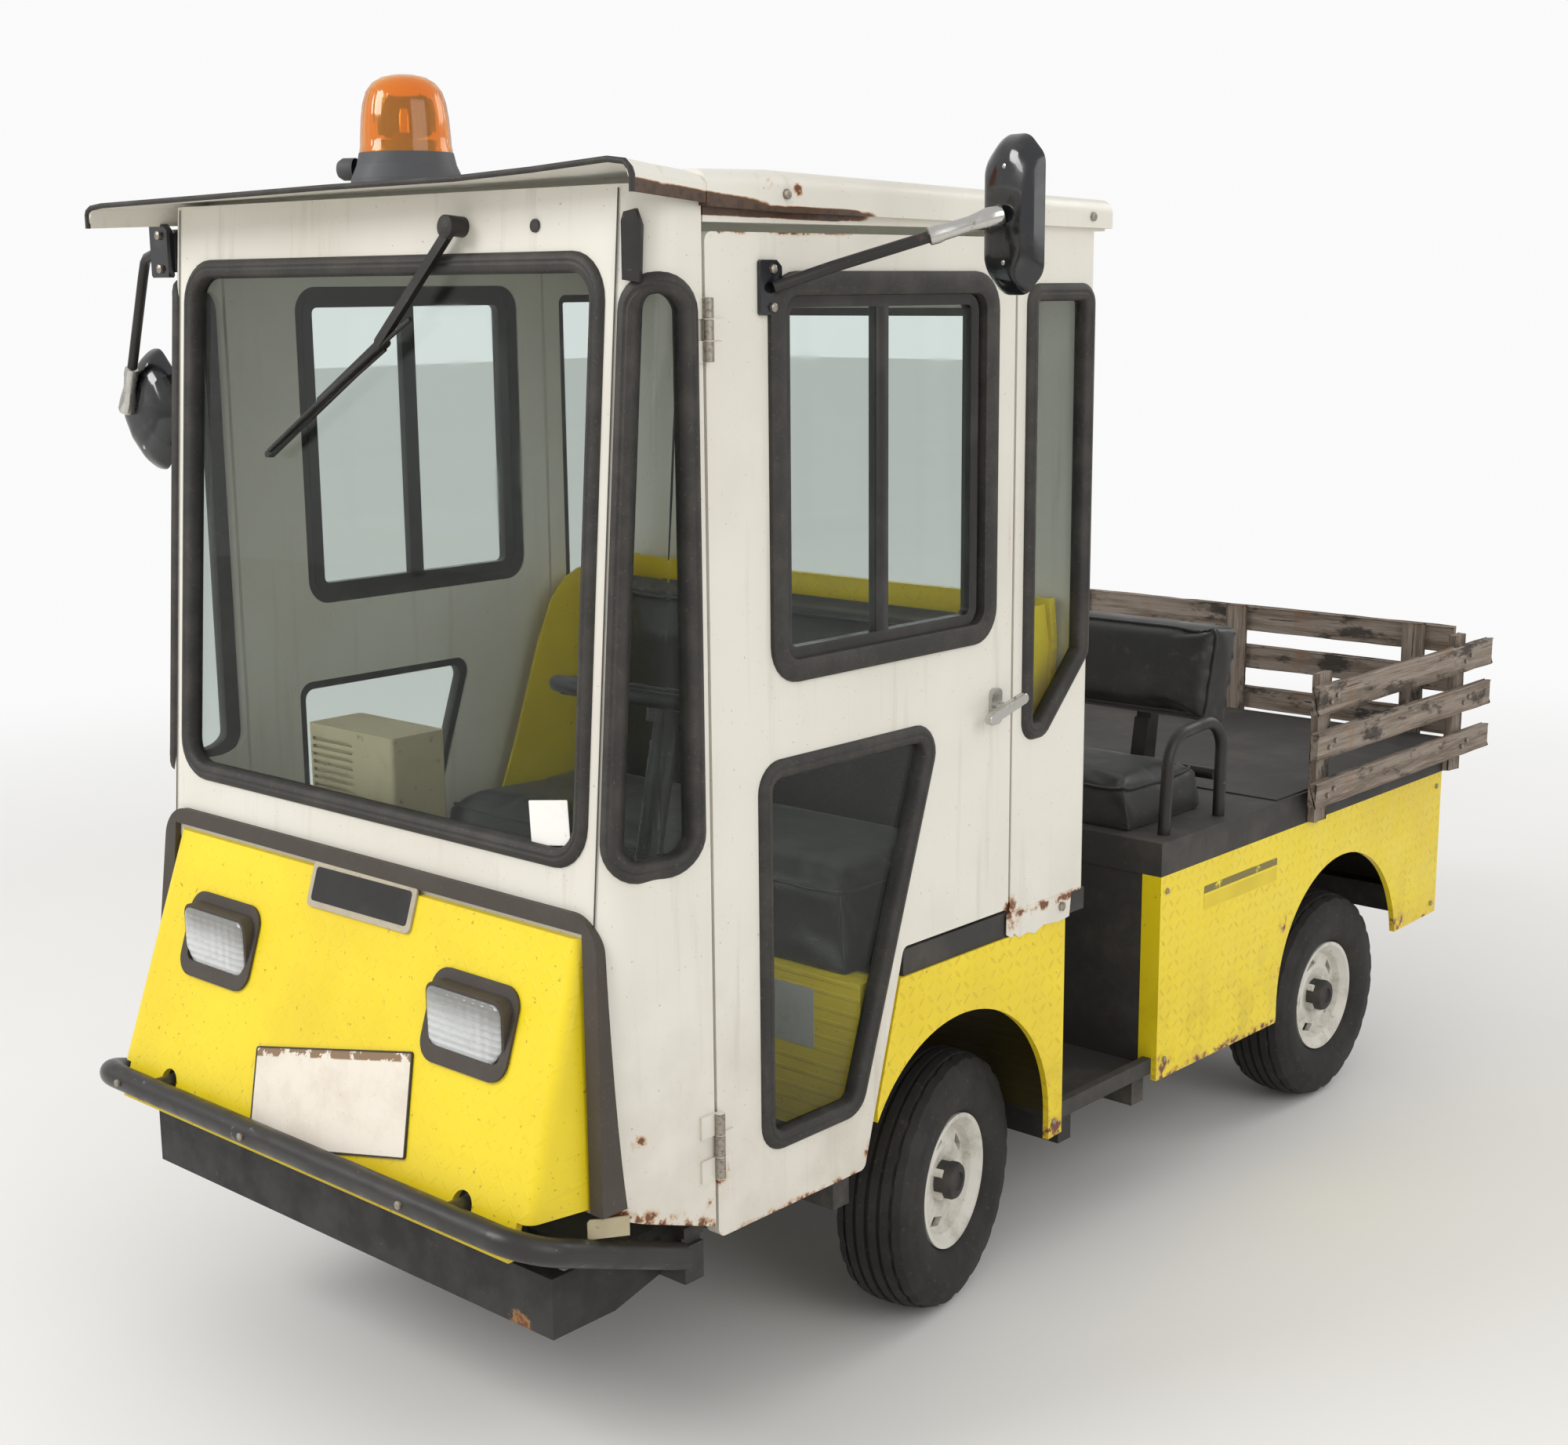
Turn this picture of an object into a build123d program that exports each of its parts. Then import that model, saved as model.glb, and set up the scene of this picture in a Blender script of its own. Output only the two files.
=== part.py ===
from build123d import *
import math
import os

os.makedirs("parts", exist_ok=True)

# Electric utility cart with a closed cab, a rear-facing deck and stake sides.
# Sizes are in millimetres. The cart faces -Y, its left side is +X and the floor is Z 0.
# Lengths along the cart are measured backwards from the front axle; along() makes them Y.

# Wheels and axles
front_axle_y = -474
wheelbase = 1367
tyre_radius = 229
tyre_width = 145
rim_radius = 120
well_radius = 98
rim_width = 115
seat_radius = 108
flange_width = 6
wheel_plane_x = 482.5
kingpin_x = 415
kingpin_radius = 10
rest_steer = 12
steer_lock = 30
spindle_radius = 16
hub_radius = 42
lug_circle = 28
running_gap = 0.3

# Cab shell
half_width = 590
outside = half_width + 60
corner_radius = 75
rear_corner_radius = 25
wall = 25
front_at_floor = -885
front_lean = 0.079
cab_rear = 344
cab_height = 2000
block_length = 2000
seam_x = half_width - 60
rear_seam_x = half_width - 50
panel_gap = 6
corner_bottom = 386
corner_bottom_front = 486
front_panel_bottom = 850
wall_top = 1868
front_top = 1918
glass_inset = 9
glass_thickness = 6
glass_gap = 0.3

# Doors
hinge_line = -633
door_rear = 103
door_bottom = 366
door_top = 1855
door_cut_low = -285
door_cut_high = -185
sill_height = 720
hinge_x = half_width + 8
hinge_radius = 7
hinge_strap = 34

# Windows, as the opening in the panel
windscreen_half_width = seam_x - 34
windscreen_low = 973
windscreen_high = 1816
windscreen_radius = 55
door_window_front = -486
door_window_rear = 38
door_window_low = 1212
door_window_high = 1786
door_window_radius = 45
low_window_top = 1070
low_window_bottom = 480
low_window_front = -518
low_window_top_rear = -108
low_window_bottom_rear = -306
low_window_radius = 28
quarter_window_front = 149
quarter_window_rear = 316
quarter_window_top = 1767
quarter_window_bend = 1146
quarter_window_low = 1024
quarter_window_radius = 18
rear_window_half_width = 380
rear_window_low = 1180
rear_window_high = 1740
corner_window_low = 965
corner_window_high = 1786
corner_window_edge = 25
corner_sight = 1400
corner_cut_depth = 140
side_band = (half_width - 50, half_width + 50)

# Roof and beacon
roof_half_width = half_width + 15
roof_front = -827
roof_back = 360
roof_low = 1868
roof_top = 1938
roof_edge_radius = 24
skirt_low = 1872
skirt_high = 1889
visor_root = -640
visor_flare = 28
visor_skew = 19
beacon_y = -672
beacon_base_radius = 87
beacon_base_height = 46
dome_radius = 70
dome_height = 116

# Nose, bumper and apron
nose_top = 875
nose_bottom = 420
nose_side_bottom = 476
nose_side_notch = half_width - 88
nose_top_half = half_width - 78
nose_bottom_half = half_width - 38
nose_face_top_half = half_width - 84
nose_face_bottom_half = half_width - 60
nose_out_top = 6
nose_out_bottom = 120
nose_skin = 12
nose_fold_radius = 22
trim_width = 27
trim_proud = 11
trim_bottom = 472
lamp_x = 322
lamp_width = 176
lamp_height = 108
lamp_z = 711
lamp_front = -888
lamp_depth = 70
lamp_surround = (196, 144)
surround_skin = 5
bumper_tube = 21
bumper_y = -985
bumper_z = 460
bumper_half = half_width - 28
bumper_bend = 70
bumper_end = (bumper_half, -680, 346)
stub_x = 383
stub_z = 468
stub_radius = 13
stub_hole = 22
apron_y = -900
apron_half = 512
apron_low = 277
apron_high = 372
front_member = -892
apron_skin = 8
apron_back = -622

# Chassis
rail_x = 225
rail_width = 50
rail_height = 60
rail_front_z = 300
rail_mid_z = 215
rail_rear_z = 330
rail_front = -870
rail_back = 1788
front_drop = (196, 256)
rear_rise = (wheelbase - 407, wheelbase - 307)
member = 40
outrigger_y = -680
outrigger_half = half_width - 24

# Front body, floor and seat in the cab
body_skin = 12
body_top = 668
body_rear = 278
body_low = 257
body_front_wall = -262
arch_centre = (-26, 302)
arch_radius = 262
floor_high = 390
floor_rear = -262
floor_skin = 17
sill_thickness = 28
step_top = 290
cushion_top = 880

# Rear body and deck
rear_body_front = 598
rear_body_back = 1800
rear_body_top = 671
rear_body_low = 262
rear_body_back_low = 336
rear_arch_centre = (wheelbase - 37, 300)
rear_arch_radius = 268
flange = 42
deck_top = 737
deck_skin = 18
deck_back = 1862
deck_edge = 14
bed_skin = 3
bed_front = 1045

# Rear seat and stake sides
rear_cushion_front = 622
rear_cushion_back = 905
rear_cushion_half = half_width - 90
rear_cushion_top = 832
backrest_half = rear_cushion_half
backrest_low = 892
backrest_high = 1104
backrest_y = 968
backrest_thickness = 70
backrest_lean = 12
hoop_x = half_width - 38
hoop_front = rear_cushion_front + 41
hoop_tube = 12
slat_thickness = 20
post_thickness = 20
post_width = 52
stake_front = 1122
stake_back = 1954
gate_half = half_width - 28
tail_lamp_x = 480
tail_lamp_z = 592
gate_y = 1862


def along(distance):
    return front_axle_y + distance


def front_y(height):
    return along(front_at_floor + front_lean * height)


def save(piece, name):
    piece.part.label = name
    export_step(piece.part, f"parts/{name}.step")


def block(x, y, z):
    # A plain box between three pairs of limits
    with BuildPart() as solid:
        with Locations(((x[0] + x[1]) / 2, (y[0] + y[1]) / 2, (z[0] + z[1]) / 2)):
            Box(x[1] - x[0], y[1] - y[0], z[1] - z[0])
    return solid.part


def side_prism(outline, radius, x):
    # A shape drawn on the side view, outline as (length, height), pushed across from x[0] to x[1]
    with BuildPart() as solid:
        with BuildSketch(Plane.YZ.offset(x[0])) as face:
            with BuildLine():
                Polyline(*[(along(length), height) for length, height in outline], close=True)
            make_face()
            if radius:
                fillet(face.vertices(), radius)
        extrude(amount=x[1] - x[0])
    return solid.part


def mirrored(part):
    return mirror(part, about=Plane.YZ, mode=Mode.PRIVATE)


def both_sides(part):
    other = mirrored(part)
    with BuildPart() as pair:
        add(part)
        add(other)
    return pair


def door_edge(height):
    # Length of the door's slanted rear edge over the front wheel
    share = (height - door_bottom) / (sill_height - door_bottom)
    return door_cut_low + share * (door_cut_high - door_cut_low)


# Wheels: a rounded tyre on a dished steel disc, drawn as half sections and spun about the axle

def tyre(location):
    half = tyre_width / 2
    bead = rim_width / 2 - flange_width - running_gap
    with BuildPart() as solid:
        with BuildSketch(Plane.XZ) as section:
            with BuildLine():
                Polyline((-bead, seat_radius + running_gap), (-bead, rim_radius + 2), (-half + 8, rim_radius + 12), (-half, 160),
                         (-half + 2, 186), (-48, 222), (-24, tyre_radius), (24, tyre_radius), (48, 222), (half - 2, 186),
                         (half, 160), (half - 8, rim_radius + 12), (bead, rim_radius + 2), (bead, seat_radius + running_gap),
                         close=True)
            make_face()
        revolve(axis=Axis.X)
    return solid.part.moved(location)


def rim(side, location):
    # The disc stands towards the outside, with its hub and five wheel nuts
    half = rim_width / 2
    with BuildPart() as solid:
        with BuildSketch(Plane.XZ):
            with BuildLine():
                Polyline((-half, rim_radius), (-half, rim_radius - 8), (-half + 12, well_radius), (12, well_radius),
                         (20, well_radius - 10), (28, hub_radius + 16), (20, hub_radius), (20, spindle_radius + running_gap),
                         (32, spindle_radius + running_gap), (32, hub_radius - 6), (38, hub_radius + 18),
                         (30, well_radius - 6), (half - 14, well_radius), (half, rim_radius - 8), (half, rim_radius),
                         (half - flange_width, rim_radius), (half - flange_width, seat_radius),
                         (-half + flange_width, seat_radius), (-half + flange_width, rim_radius), close=True)
            make_face()
        revolve(axis=Axis.X)
        with BuildSketch(Plane.YZ.offset(10)):
            with PolarLocations((hub_radius + well_radius) / 2 + 7, 5, start_angle=36):
                Rectangle(18, 34)
        extrude(amount=40, mode=Mode.SUBTRACT)
        with BuildSketch(Plane.YZ.offset(30)):
            Circle(hub_radius - 12)
            Circle(spindle_radius + running_gap, mode=Mode.SUBTRACT)
        extrude(amount=26)
        with BuildSketch(Plane.YZ.offset(30)):
            with PolarLocations(lug_circle + 8, 5):
                RegularPolygon(8, 6)
        extrude(amount=18)
    part = solid.part if side > 0 else mirrored(solid.part)
    return part.moved(location)


wheels = [
    # name, side, length behind the front axle, steer
    ("front_left", 1, 0, rest_steer),
    ("front_right", -1, 0, rest_steer),
    ("rear_left", 1, wheelbase, 0),
    ("rear_right", -1, wheelbase, 0),
]


def turned(side, steer):
    # Moves a wheel from the origin to its hub, turned about the kingpin
    pin = Location((side * kingpin_x, along(0), tyre_radius), (0, 0, steer))
    return pin * Location((side * (wheel_plane_x - kingpin_x), 0, 0))


for name, side, length, steer in wheels:
    place = turned(side, steer) if length == 0 else Location((side * wheel_plane_x, along(length), tyre_radius))
    with BuildPart() as tyre_piece:
        add(tyre(place))
    save(tyre_piece, f"tyre_{name}")
    with BuildPart() as rim_piece:
        add(rim(side, place))
    save(rim_piece, f"rim_{name}")

# Knuckles: a yoke round the axle's eye, its kingpin and the stub axle that the wheel turns on
eye_radius = 22
eye_half = 24
yoke_arm = 12
yoke_gap = 0.4
for name, side in (("left", 1), ("right", -1)):
    with BuildPart() as knuckle:
        for level in (eye_half + yoke_gap, -eye_half - yoke_gap - yoke_arm):
            with BuildSketch(Plane.XY.offset(level)):
                Circle(eye_radius)
                with Locations((side * 14, 0)):
                    Rectangle(28, 2 * eye_radius)
            extrude(amount=yoke_arm)
        with BuildSketch(Plane.XY.offset(-eye_half - yoke_arm)):
            Circle(kingpin_radius)
        extrude(amount=2 * (eye_half + yoke_arm))
        with Locations((side * 30, 0, 0)):
            Box(10, 2 * eye_radius, 2 * (eye_half + yoke_arm + yoke_gap))
        with BuildSketch(Plane.YZ.offset(side * 30)):
            Circle(spindle_radius)
        extrude(amount=side * (wheel_plane_x - kingpin_x + 28 - 30))
        with BuildSketch(Plane.YZ.offset(side * 30)):
            Circle(30)
        extrude(amount=side * (wheel_plane_x - kingpin_x + 12 - 30 - 1))
        with BuildSketch(Plane.XY.offset(-eye_half - yoke_gap - yoke_arm)):
            with Locations((-side * 8, 55)):
                Rectangle(22, 100)
        extrude(amount=10)
    with BuildPart() as placed:
        add(knuckle.part.moved(Location((side * kingpin_x, along(0), tyre_radius), (0, 0, rest_steer))))
    save(placed, f"knuckle_{name}")

# Front axle: a square beam with an eye for each kingpin
with BuildPart() as front_axle:
    with Locations((0, along(0), tyre_radius)):
        Box(2 * kingpin_x, 48, 40)
    for side in (1, -1):
        with BuildSketch(Plane.XY.offset(tyre_radius - eye_half)):
            with Locations((side * kingpin_x, along(0))):
                Circle(eye_radius)
        extrude(amount=2 * eye_half)
    for side in (1, -1):
        with BuildSketch(Plane.XY.offset(tyre_radius - eye_half)):
            with Locations((side * kingpin_x, along(0))):
                Circle(kingpin_radius + running_gap)
        extrude(amount=2 * eye_half, mode=Mode.SUBTRACT)
save(front_axle, "front_axle")

# Rear axle: tubes, the gear casing in the middle and a stub for each wheel
axle_tube = 32
with BuildPart() as rear_axle:
    with BuildSketch(Plane.YZ.offset(-(wheel_plane_x - 30))):
        with Locations((along(wheelbase), tyre_radius)):
            Circle(axle_tube)
    extrude(amount=2 * (wheel_plane_x - 30))
    with BuildSketch(Plane.YZ.offset(-(wheel_plane_x + 28))):
        with Locations((along(wheelbase), tyre_radius)):
            Circle(spindle_radius)
    extrude(amount=2 * (wheel_plane_x + 28))
    with Locations((60, along(wheelbase), tyre_radius)):
        Sphere(88)
save(rear_axle, "rear_axle")

# Drive motor: one plain block in front of the gear casing
motor_length = 230
with BuildPart() as drive_motor:
    with BuildSketch(Plane.XZ.offset(-along(wheelbase - 88.5))):
        with Locations((60, tyre_radius + 8)):
            Circle(82)
    extrude(amount=motor_length)
save(drive_motor, "drive_motor")

# Leaf springs: a long leaf and a short one under each rail, front and rear
springs = [
    # length behind the front axle, half span, height on the axle, height of the rail above
    (0, 190, tyre_radius + 20, rail_front_z),
    (wheelbase, 270, tyre_radius + axle_tube, rail_rear_z),
]
leaf = 11
with BuildPart() as leaf_springs:
    for length, span, seat, rail in springs:
        for reach, drop in ((span, leaf), (span * 0.55, 0)):
            rise = (rail - leaf - seat - leaf) * (reach / span) ** 2
            with BuildSketch(Plane.YZ.offset(-rail_x - rail_width / 2)):
                with BuildLine():
                    low = ThreePointArc((along(length - reach), seat + drop + rise), (along(length), seat + drop),
                                        (along(length + reach), seat + drop + rise))
                    high = ThreePointArc((along(length - reach), seat + drop + rise + leaf), (along(length), seat + drop + leaf),
                                         (along(length + reach), seat + drop + rise + leaf))
                    Line(low @ 0, high @ 0)
                    Line(low @ 1, high @ 1)
                make_face()
            extrude(amount=rail_width)
    mirror(about=Plane.YZ)
save(leaf_springs, "leaf_springs")

# Chassis: two rails that step down for the footwell and up over the rear axle, with cross members
rail_top_line = [
    # length, underside height
    (rail_front, rail_front_z),
    (front_drop[0], rail_front_z),
    (front_drop[1], rail_mid_z),
    (rear_rise[0], rail_mid_z),
    (rear_rise[1], rail_rear_z),
    (rail_back, rail_rear_z),
]
member_half = half_width - 30
members = [
    # length of the front face, half span, underside height
    (front_member, half_width - 90, rail_front_z),
    (outrigger_y, outrigger_half, rail_front_z),
    (-330, member_half, rail_front_z),
    (312, member_half, rail_mid_z),
    (560, member_half, rail_mid_z),
    (wheelbase - 467, 400, rail_mid_z),
    (rail_back - member, member_half, rail_rear_z),
]
with BuildPart() as chassis:
    for side in (1, -1):
        outline = rail_top_line + [(length, height + rail_height) for length, height in reversed(rail_top_line)]
        add(side_prism(outline, 0, (side * rail_x - rail_width / 2, side * rail_x + rail_width / 2)))
    for length, reach, height in members:
        with Locations((0, along(length + member / 2), height + rail_height / 2)):
            Box(2 * reach, member, rail_height)
    # Towing plate with its pin hole at the back
    with BuildSketch(Plane.XY.offset(rail_rear_z - 12)):
        with BuildLine():
            Polyline((-90, along(rail_back - member)), (90, along(rail_back - member)), (90, along(rail_back)),
                     (45, along(rail_back + 95)), (-45, along(rail_back + 95)), (-90, along(rail_back)), close=True)
        make_face()
        with Locations((0, along(rail_back + 62))):
            Circle(11, mode=Mode.SUBTRACT)
    extrude(amount=12)
save(chassis, "chassis_frame")

# Battery pack under the rear seat, one plain block on the rails
with BuildPart() as battery:
    add(block((-380, 380), (along(rear_body_front + 22), along(930)), (rail_mid_z + rail_height, 560)))
save(battery, "battery_pack")

# Bumper: a bent tube on two stubs, its arms running back and down under the cab corners
with BuildPart() as bumper:
    with BuildLine() as bumper_line:
        FilletPolyline(
            (bumper_end[0], along(bumper_end[1] + 12), bumper_end[2] - 4),
            (bumper_half, along(bumper_y), bumper_z),
            (-bumper_half, along(bumper_y), bumper_z),
            (-bumper_end[0], along(bumper_end[1] + 12), bumper_end[2] - 4),
            radius=bumper_bend,
        )
    with BuildSketch(Plane(bumper_line.line @ 0, z_dir=bumper_line.line % 0)):
        Circle(bumper_tube)
    sweep()
    add(block((-outside, outside), (along(outrigger_y - running_gap), along(0)), (0, nose_top)), mode=Mode.SUBTRACT)
    for side in (1, -1):
        with BuildSketch(Plane.XZ.offset(-along(front_member + member))):
            with Locations((side * stub_x, stub_z)):
                Circle(stub_radius)
        extrude(amount=front_member + member - bumper_y)
        with Locations((side * stub_x, along(front_member + member / 2), (rail_front_z + rail_height + stub_z + 24) / 2)):
            Box(46, member, stub_z + 24 - rail_front_z - rail_height)
save(bumper, "bumper")

# Apron: the dark plate under the nose, wrapped back along both sides
with BuildPart() as apron:
    with BuildSketch(Plane.XY.offset(apron_low)) as apron_plan:
        with BuildLine():
            Polyline((-apron_half, along(apron_back)), (-apron_half, along(apron_y)), (apron_half, along(apron_y)),
                     (apron_half, along(apron_back)), (apron_half - apron_skin, along(apron_back)),
                     (apron_half - apron_skin, along(apron_y + apron_skin)),
                     (-apron_half + apron_skin, along(apron_y + apron_skin)), (-apron_half + apron_skin, along(apron_back)),
                     close=True)
        make_face()
    extrude(amount=apron_high - apron_low)
    add(side_prism([(apron_back + 1, apron_low - 1), (apron_back + 1, apron_low + 40), (apron_y + 120, apron_low - 1)],
                   0, (-outside, outside)), mode=Mode.SUBTRACT)
    add(block((-outside, outside), (along(outrigger_y - running_gap), along(0)), (0, floor_high)), mode=Mode.SUBTRACT)
save(apron, "front_apron")


# Cab shell: the outer block of the cab, leaning at the front, less the same block set in by the wall

def cab_block(inset):
    lean = Vector(0, front_lean, 1)
    with BuildPart() as leaning:
        with BuildSketch() as plan:
            with Locations((0, along(front_at_floor) + inset)):
                Rectangle(2 * (half_width - inset), block_length, align=(Align.CENTER, Align.MIN))
            fillet(plan.vertices().group_by(Axis.Y)[0], corner_radius - inset)
        extrude(amount=cab_height * lean.length, dir=lean)
    with BuildPart() as upright:
        with BuildSketch() as plan:
            with Locations((0, along(cab_rear) - inset)):
                Rectangle(2 * (half_width - inset), block_length, align=(Align.CENTER, Align.MAX))
            fillet(plan.vertices().group_by(Axis.Y)[-1], max(rear_corner_radius - inset, 2))
        extrude(amount=cab_height)
    with BuildPart() as cab:
        add(leaning.part)
        add(upright.part, mode=Mode.INTERSECT)
    return cab.part


def front_opening(half, low, high, radius):
    with BuildPart() as solid:
        with BuildSketch(Plane.XZ.offset(-along(-640))) as face:
            with Locations((0, (low + high) / 2)):
                Rectangle(2 * half, high - low)
            fillet(face.vertices(), radius)
        extrude(amount=300)
    return solid.part


def rear_opening(half, low, high, radius):
    with BuildPart() as solid:
        with BuildSketch(Plane.XZ.offset(-along(cab_rear + 40))) as face:
            with Locations((0, (low + high) / 2)):
                Rectangle(2 * half, high - low)
            fillet(face.vertices(), radius)
        extrude(amount=120)
    return solid.part


def corner_opening(inset):
    # The tall slot of the corner window, cut along the diagonal of the left corner
    root = math.sqrt(2)
    low, high = corner_window_low + inset, corner_window_high - inset
    front_edge = seam_x + corner_window_edge
    rear_edge = along(hinge_line - panel_gap / 2 - corner_window_edge)

    def across(x, y):
        return (x + y) / root

    corners = [
        (across(front_edge, front_y(low)) + inset, low),
        (across(half_width, rear_edge) - inset, low),
        (across(half_width, rear_edge) - inset, high),
        (across(front_edge, front_y(high)) + inset, high),
    ]
    diagonal = Plane(origin=(0, 0, 0), x_dir=(1, 1, 0), z_dir=(1, -1, 0))
    with BuildPart() as solid:
        with BuildSketch(diagonal.offset((half_width - front_y(corner_sight)) / root - corner_cut_depth)) as face:
            with BuildLine():
                Polyline(*corners, close=True)
            make_face()
            fillet(face.vertices(), 40)
        extrude(amount=220)
    return solid.part


cab_outer = cab_block(0)
with BuildPart() as cab_shell:
    add(cab_outer)
    add(cab_block(wall), mode=Mode.SUBTRACT)
with BuildPart() as glass_shell:
    add(cab_block(glass_inset))
    add(cab_block(glass_inset + glass_thickness), mode=Mode.SUBTRACT)


def from_shell(shell, region, openings):
    with BuildPart() as piece:
        add(shell)
        add(region, mode=Mode.INTERSECT)
        for opening in openings:
            add(opening, mode=Mode.SUBTRACT)
    return piece


def door_window(inset):
    outline = [
        (door_window_front + inset, door_window_low + inset),
        (door_window_rear - inset, door_window_low + inset),
        (door_window_rear - inset, door_window_high - inset),
        (door_window_front + inset, door_window_high - inset),
    ]
    return side_prism(outline, door_window_radius, side_band)


def low_window(inset):
    outline = [
        (low_window_front + inset, low_window_bottom + inset),
        (low_window_bottom_rear - inset, low_window_bottom + inset),
        (low_window_top_rear - inset, low_window_top - inset),
        (low_window_front + inset, low_window_top - inset),
    ]
    return side_prism(outline, low_window_radius, side_band)


def quarter_window(inset):
    outline = [
        (quarter_window_front + inset, quarter_window_low + inset),
        (quarter_window_front + 45, quarter_window_low + inset),
        (quarter_window_rear - inset, quarter_window_bend),
        (quarter_window_rear - inset, quarter_window_top - inset),
        (quarter_window_front + inset, quarter_window_top - inset),
    ]
    return side_prism(outline, quarter_window_radius, side_band)


far_front = -1000
seam_front = along(far_front)
corner_rear = along(hinge_line - panel_gap / 2)
quarter_front = along(door_rear + panel_gap)
windscreen = (windscreen_half_width, windscreen_low, windscreen_high, windscreen_radius)
rear_window = (rear_window_half_width, rear_window_low, rear_window_high, 60)

# Cab front: the white panel round the windscreen
cab_front = from_shell(cab_shell.part, block((-seam_x, seam_x), (seam_front, along(-640)), (front_panel_bottom, front_top)),
                       [front_opening(*windscreen)])
save(cab_front, "cab_front")

# Cab corners: the two rounded corner posts with their tall windows and the fixed hinge leaves
hinges = [
    # low end, high end
    (1676, 1766),
    (466, 570),
]
corner_skirt = side_prism([(hinge_line, corner_bottom), (front_at_floor - 20, corner_bottom_front), (front_at_floor - 20, 0),
                           (hinge_line, 0)], 0, (seam_x - 10, outside))
corner = from_shell(cab_shell.part, block((seam_x, outside), (seam_front, corner_rear), (corner_bottom, front_top)),
                    [corner_opening(0), corner_skirt])
with BuildPart() as left_corner:
    add(corner.part)
    for low, high in hinges:
        third = (high - low) / 3
        for start in (low, low + 2 * third):
            with BuildSketch(Plane.XY.offset(start)):
                with Locations((hinge_x, along(hinge_line))):
                    Circle(hinge_radius)
                with Locations((half_width + 2, along(hinge_line - hinge_strap / 2 - 1))):
                    Rectangle(4, hinge_strap)
            extrude(amount=third)
        with BuildSketch(Plane.XY.offset(low)):
            with Locations((hinge_x, along(hinge_line))):
                Circle(hinge_radius / 2)
        extrude(amount=high - low)
save(both_sides(left_corner.part), "cab_corners")

# Cab quarters: the fixed side panels behind the doors
quarter = from_shell(cab_shell.part, block((rear_seam_x, outside), (quarter_front, along(500)), (sill_height - 12, wall_top)),
                     [quarter_window(0)])
save(both_sides(quarter.part), "cab_quarters")

# Cab rear wall with its window
cab_back = from_shell(cab_shell.part, block((-rear_seam_x, rear_seam_x), (along(cab_rear - 60), along(500)),
                                            (sill_height - 12, wall_top)), [rear_opening(*rear_window)])
save(cab_back, "cab_rear_wall")

# Fixed glass: windscreen, two corner panes, two quarter panes and the rear pane
with BuildPart() as cab_glass:
    add(glass_shell.part)
    with BuildPart(mode=Mode.PRIVATE) as openings:
        add(front_opening(windscreen_half_width - glass_gap, windscreen_low + glass_gap, windscreen_high - glass_gap,
                          windscreen_radius))
        add(rear_opening(rear_window_half_width - glass_gap, rear_window_low + glass_gap, rear_window_high - glass_gap, 60))
        for pane in (corner_opening(glass_gap), quarter_window(glass_gap)):
            add(pane)
            add(mirrored(pane))
    add(openings.part, mode=Mode.INTERSECT)
save(cab_glass, "cab_glass")

# Roof: a cap with a skirt over the walls, and a thin visor in front whose near corner is bent up
roof_profile = [
    (roof_back, roof_low),
    (hinge_line, roof_low),
    (hinge_line, front_top + 2),
    (visor_root, front_top + 2),
    (visor_root, roof_top + 1),
    (-500, roof_top + 4),
    (roof_back, roof_top - 18),
]
# The visor from side to side: heights are over the roof top, drop is how deep its face hangs there
visor_sections = [
    # share of the half width, height at the root, height at the front edge, drop
    (-1.0, -20, -28, 26),
    (-0.98, -8, -17, 8),
    (-0.93, 1, -14, 8),
    (-0.5, 1, -10, 8),
    (0.0, 1, -5, 8),
    (0.45, 1, -3, 8),
    (0.7, 1, 3, 8),
    (0.93, 0, 11, 8),
    (0.98, -8, 7, 8),
    (1.0, -20, -10, 26),
]


def visor():
    # A thin sheet with turned-down ends, wider and slightly askew at its front edge
    with BuildPart() as solid:
        for share, root, front, drop in visor_sections:
            start = Vector(share * roof_half_width, along(visor_root))
            tip = Vector(share * (roof_half_width + visor_flare), along(roof_front + visor_skew * share))
            run = tip - start
            with BuildSketch(Plane(origin=start, x_dir=run, z_dir=run.cross(Vector(0, 0, 1)))):
                with BuildLine():
                    Polyline((0, roof_top + root), (run.length, roof_top + front), (run.length, roof_top + front - drop),
                             (0, roof_top + root - drop), close=True)
                make_face()
        loft(ruled=True)
    return solid.part


with BuildPart() as roof:
    add(side_prism(roof_profile, 0, (-roof_half_width, roof_half_width)))
    for side in (1, -1):
        side_edges = roof.edges().filter_by_position(Axis.X, side * roof_half_width - 1, side * roof_half_width + 1)
        top_edges = side_edges.filter_by_position(Axis.Z, roof_top - 20, roof_top + 10)
        fillet([edge for edge in top_edges if edge.length > roof_top - roof_low], roof_edge_radius)
    # Headroom inside the walls
    add(block((-half_width + wall, half_width - wall), (along(hinge_line), along(cab_rear - wall)),
              (roof_low - 10, front_top - 4)), mode=Mode.SUBTRACT)
    # The skirt's lower edge climbs towards the front
    for side in (1, -1):
        x = tuple(sorted((side * half_width, side * (roof_half_width + 1))))
        add(side_prism([(roof_back + 1, skirt_low), (-480, skirt_high - 6), (hinge_line - 20, skirt_high),
                        (hinge_line - 20, roof_low - 1), (roof_back + 1, roof_low - 1)], 0, x), mode=Mode.SUBTRACT)
        add(block(x, (along(visor_root), along(hinge_line)), (skirt_high, front_top + 2)))
    add(visor())
save(roof, "roof")

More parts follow.
